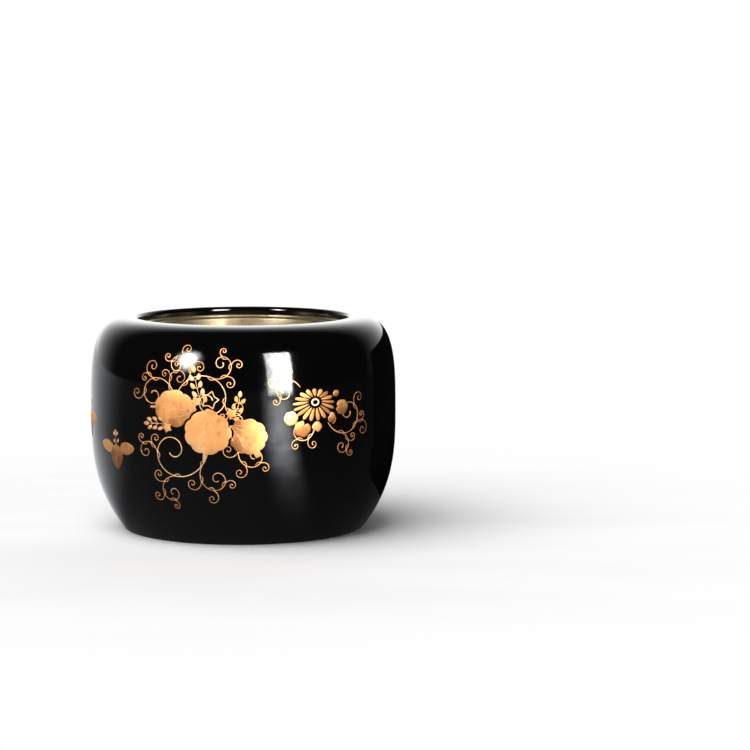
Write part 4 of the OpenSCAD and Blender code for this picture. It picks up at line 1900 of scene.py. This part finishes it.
        lamp = self.stage_piece(panel.name, corners, [(0, 1, 2, 3)], material)
        way = heading_vector(panel.azimuth, panel.elevation)
        lamp.location = Vector(panel.facing) + way * panel.away
        lamp.rotation_euler = way.to_track_quat("Z", "Y").to_euler()
        lamp.scale = (panel.size[0] / 2, panel.size[1] / 2, 1)
        lamp.visible_camera = False
        lamp.visible_diffuse = False
        lamp.visible_shadow = False

    def make_flag(self) -> None:
        """Stands a dark drum on the right, seen only as a mirror image in the lacquer."""
        material, sketch, output = self.stage_material("dark_flag")[:3]
        felt = sketch.add("ShaderNodeBsdfDiffuse", {"Color": flat_colour(0.006, 0.006, 0.006)}).outputs[0]
        clear = sketch.add("ShaderNodeBsdfTransparent").outputs[0]
        turned = sketch.add("ShaderNodeLayerWeight", {"Blend": 0.5}).outputs["Facing"]
        soft = sketch.add("ShaderNodeMixShader", {0: sketch.span(turned, 0.35, 0.95), 1: felt, 2: clear})
        sketch.tree.links.new(soft.outputs[0], output.inputs["Surface"])
        x, y = self.flag_place
        count = self.flag_sides
        turns = [math.tau * i / count for i in range(count)]
        ring = [(x + self.flag_r * math.cos(turn), y + self.flag_r * math.sin(turn)) for turn in turns]
        corners = [(*point, 0.0) for point in ring] + [(*point, self.flag_h) for point in ring]
        faces = [(i, (i + 1) % count, count + (i + 1) % count, count + i) for i in range(count)]
        faces.append(tuple(range(count, 2 * count)))
        flag = self.stage_piece("dark_flag", corners, faces, material)
        flag.visible_camera = False
        flag.visible_diffuse = False
        flag.visible_shadow = False

    def make_camera(self) -> None:
        """Places the camera and makes it the scene's camera."""
        data = bpy.data.cameras.new("studio_camera")
        data.lens = self.lens
        data.sensor_width = 36
        camera = bpy.data.objects.new("studio_camera", data)
        camera.location = self.camera_place
        camera.rotation_euler = (math.radians(90 + self.camera_pitch), 0, 0)
        bpy.context.scene.collection.objects.link(camera)
        bpy.context.scene.camera = camera
        bpy.context.scene.view_settings.view_transform = "Standard"


def main() -> None:
    """Builds the finishes, the bowl, the liner, the gold and the studio, and logs the face count of each new
    piece.
    """
    logging.basicConfig(level=logging.INFO, format="%(name)s: %(message)s")
    effects = Effects()
    lathe = Lathe()
    fit = Fit()
    lacquer = BlackLacquer(effects, fit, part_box("bowl_body")[1].z)
    bowl = TurnedBowl(lathe, fit, lacquer, BoardWood(effects), Bamboo(effects))
    bowl.build()
    BrassLiner(lathe, fit, AgedBrass(effects, fit), IronWire(effects)).build()
    wrap = SideWrap(bowl.outer_outline(), bowl.belly_r, bowl.belly_z)
    GoldDecoration(wrap, GoldPowder(effects)).build()
    Studio().build()


if __name__ == "__main__":
    main()
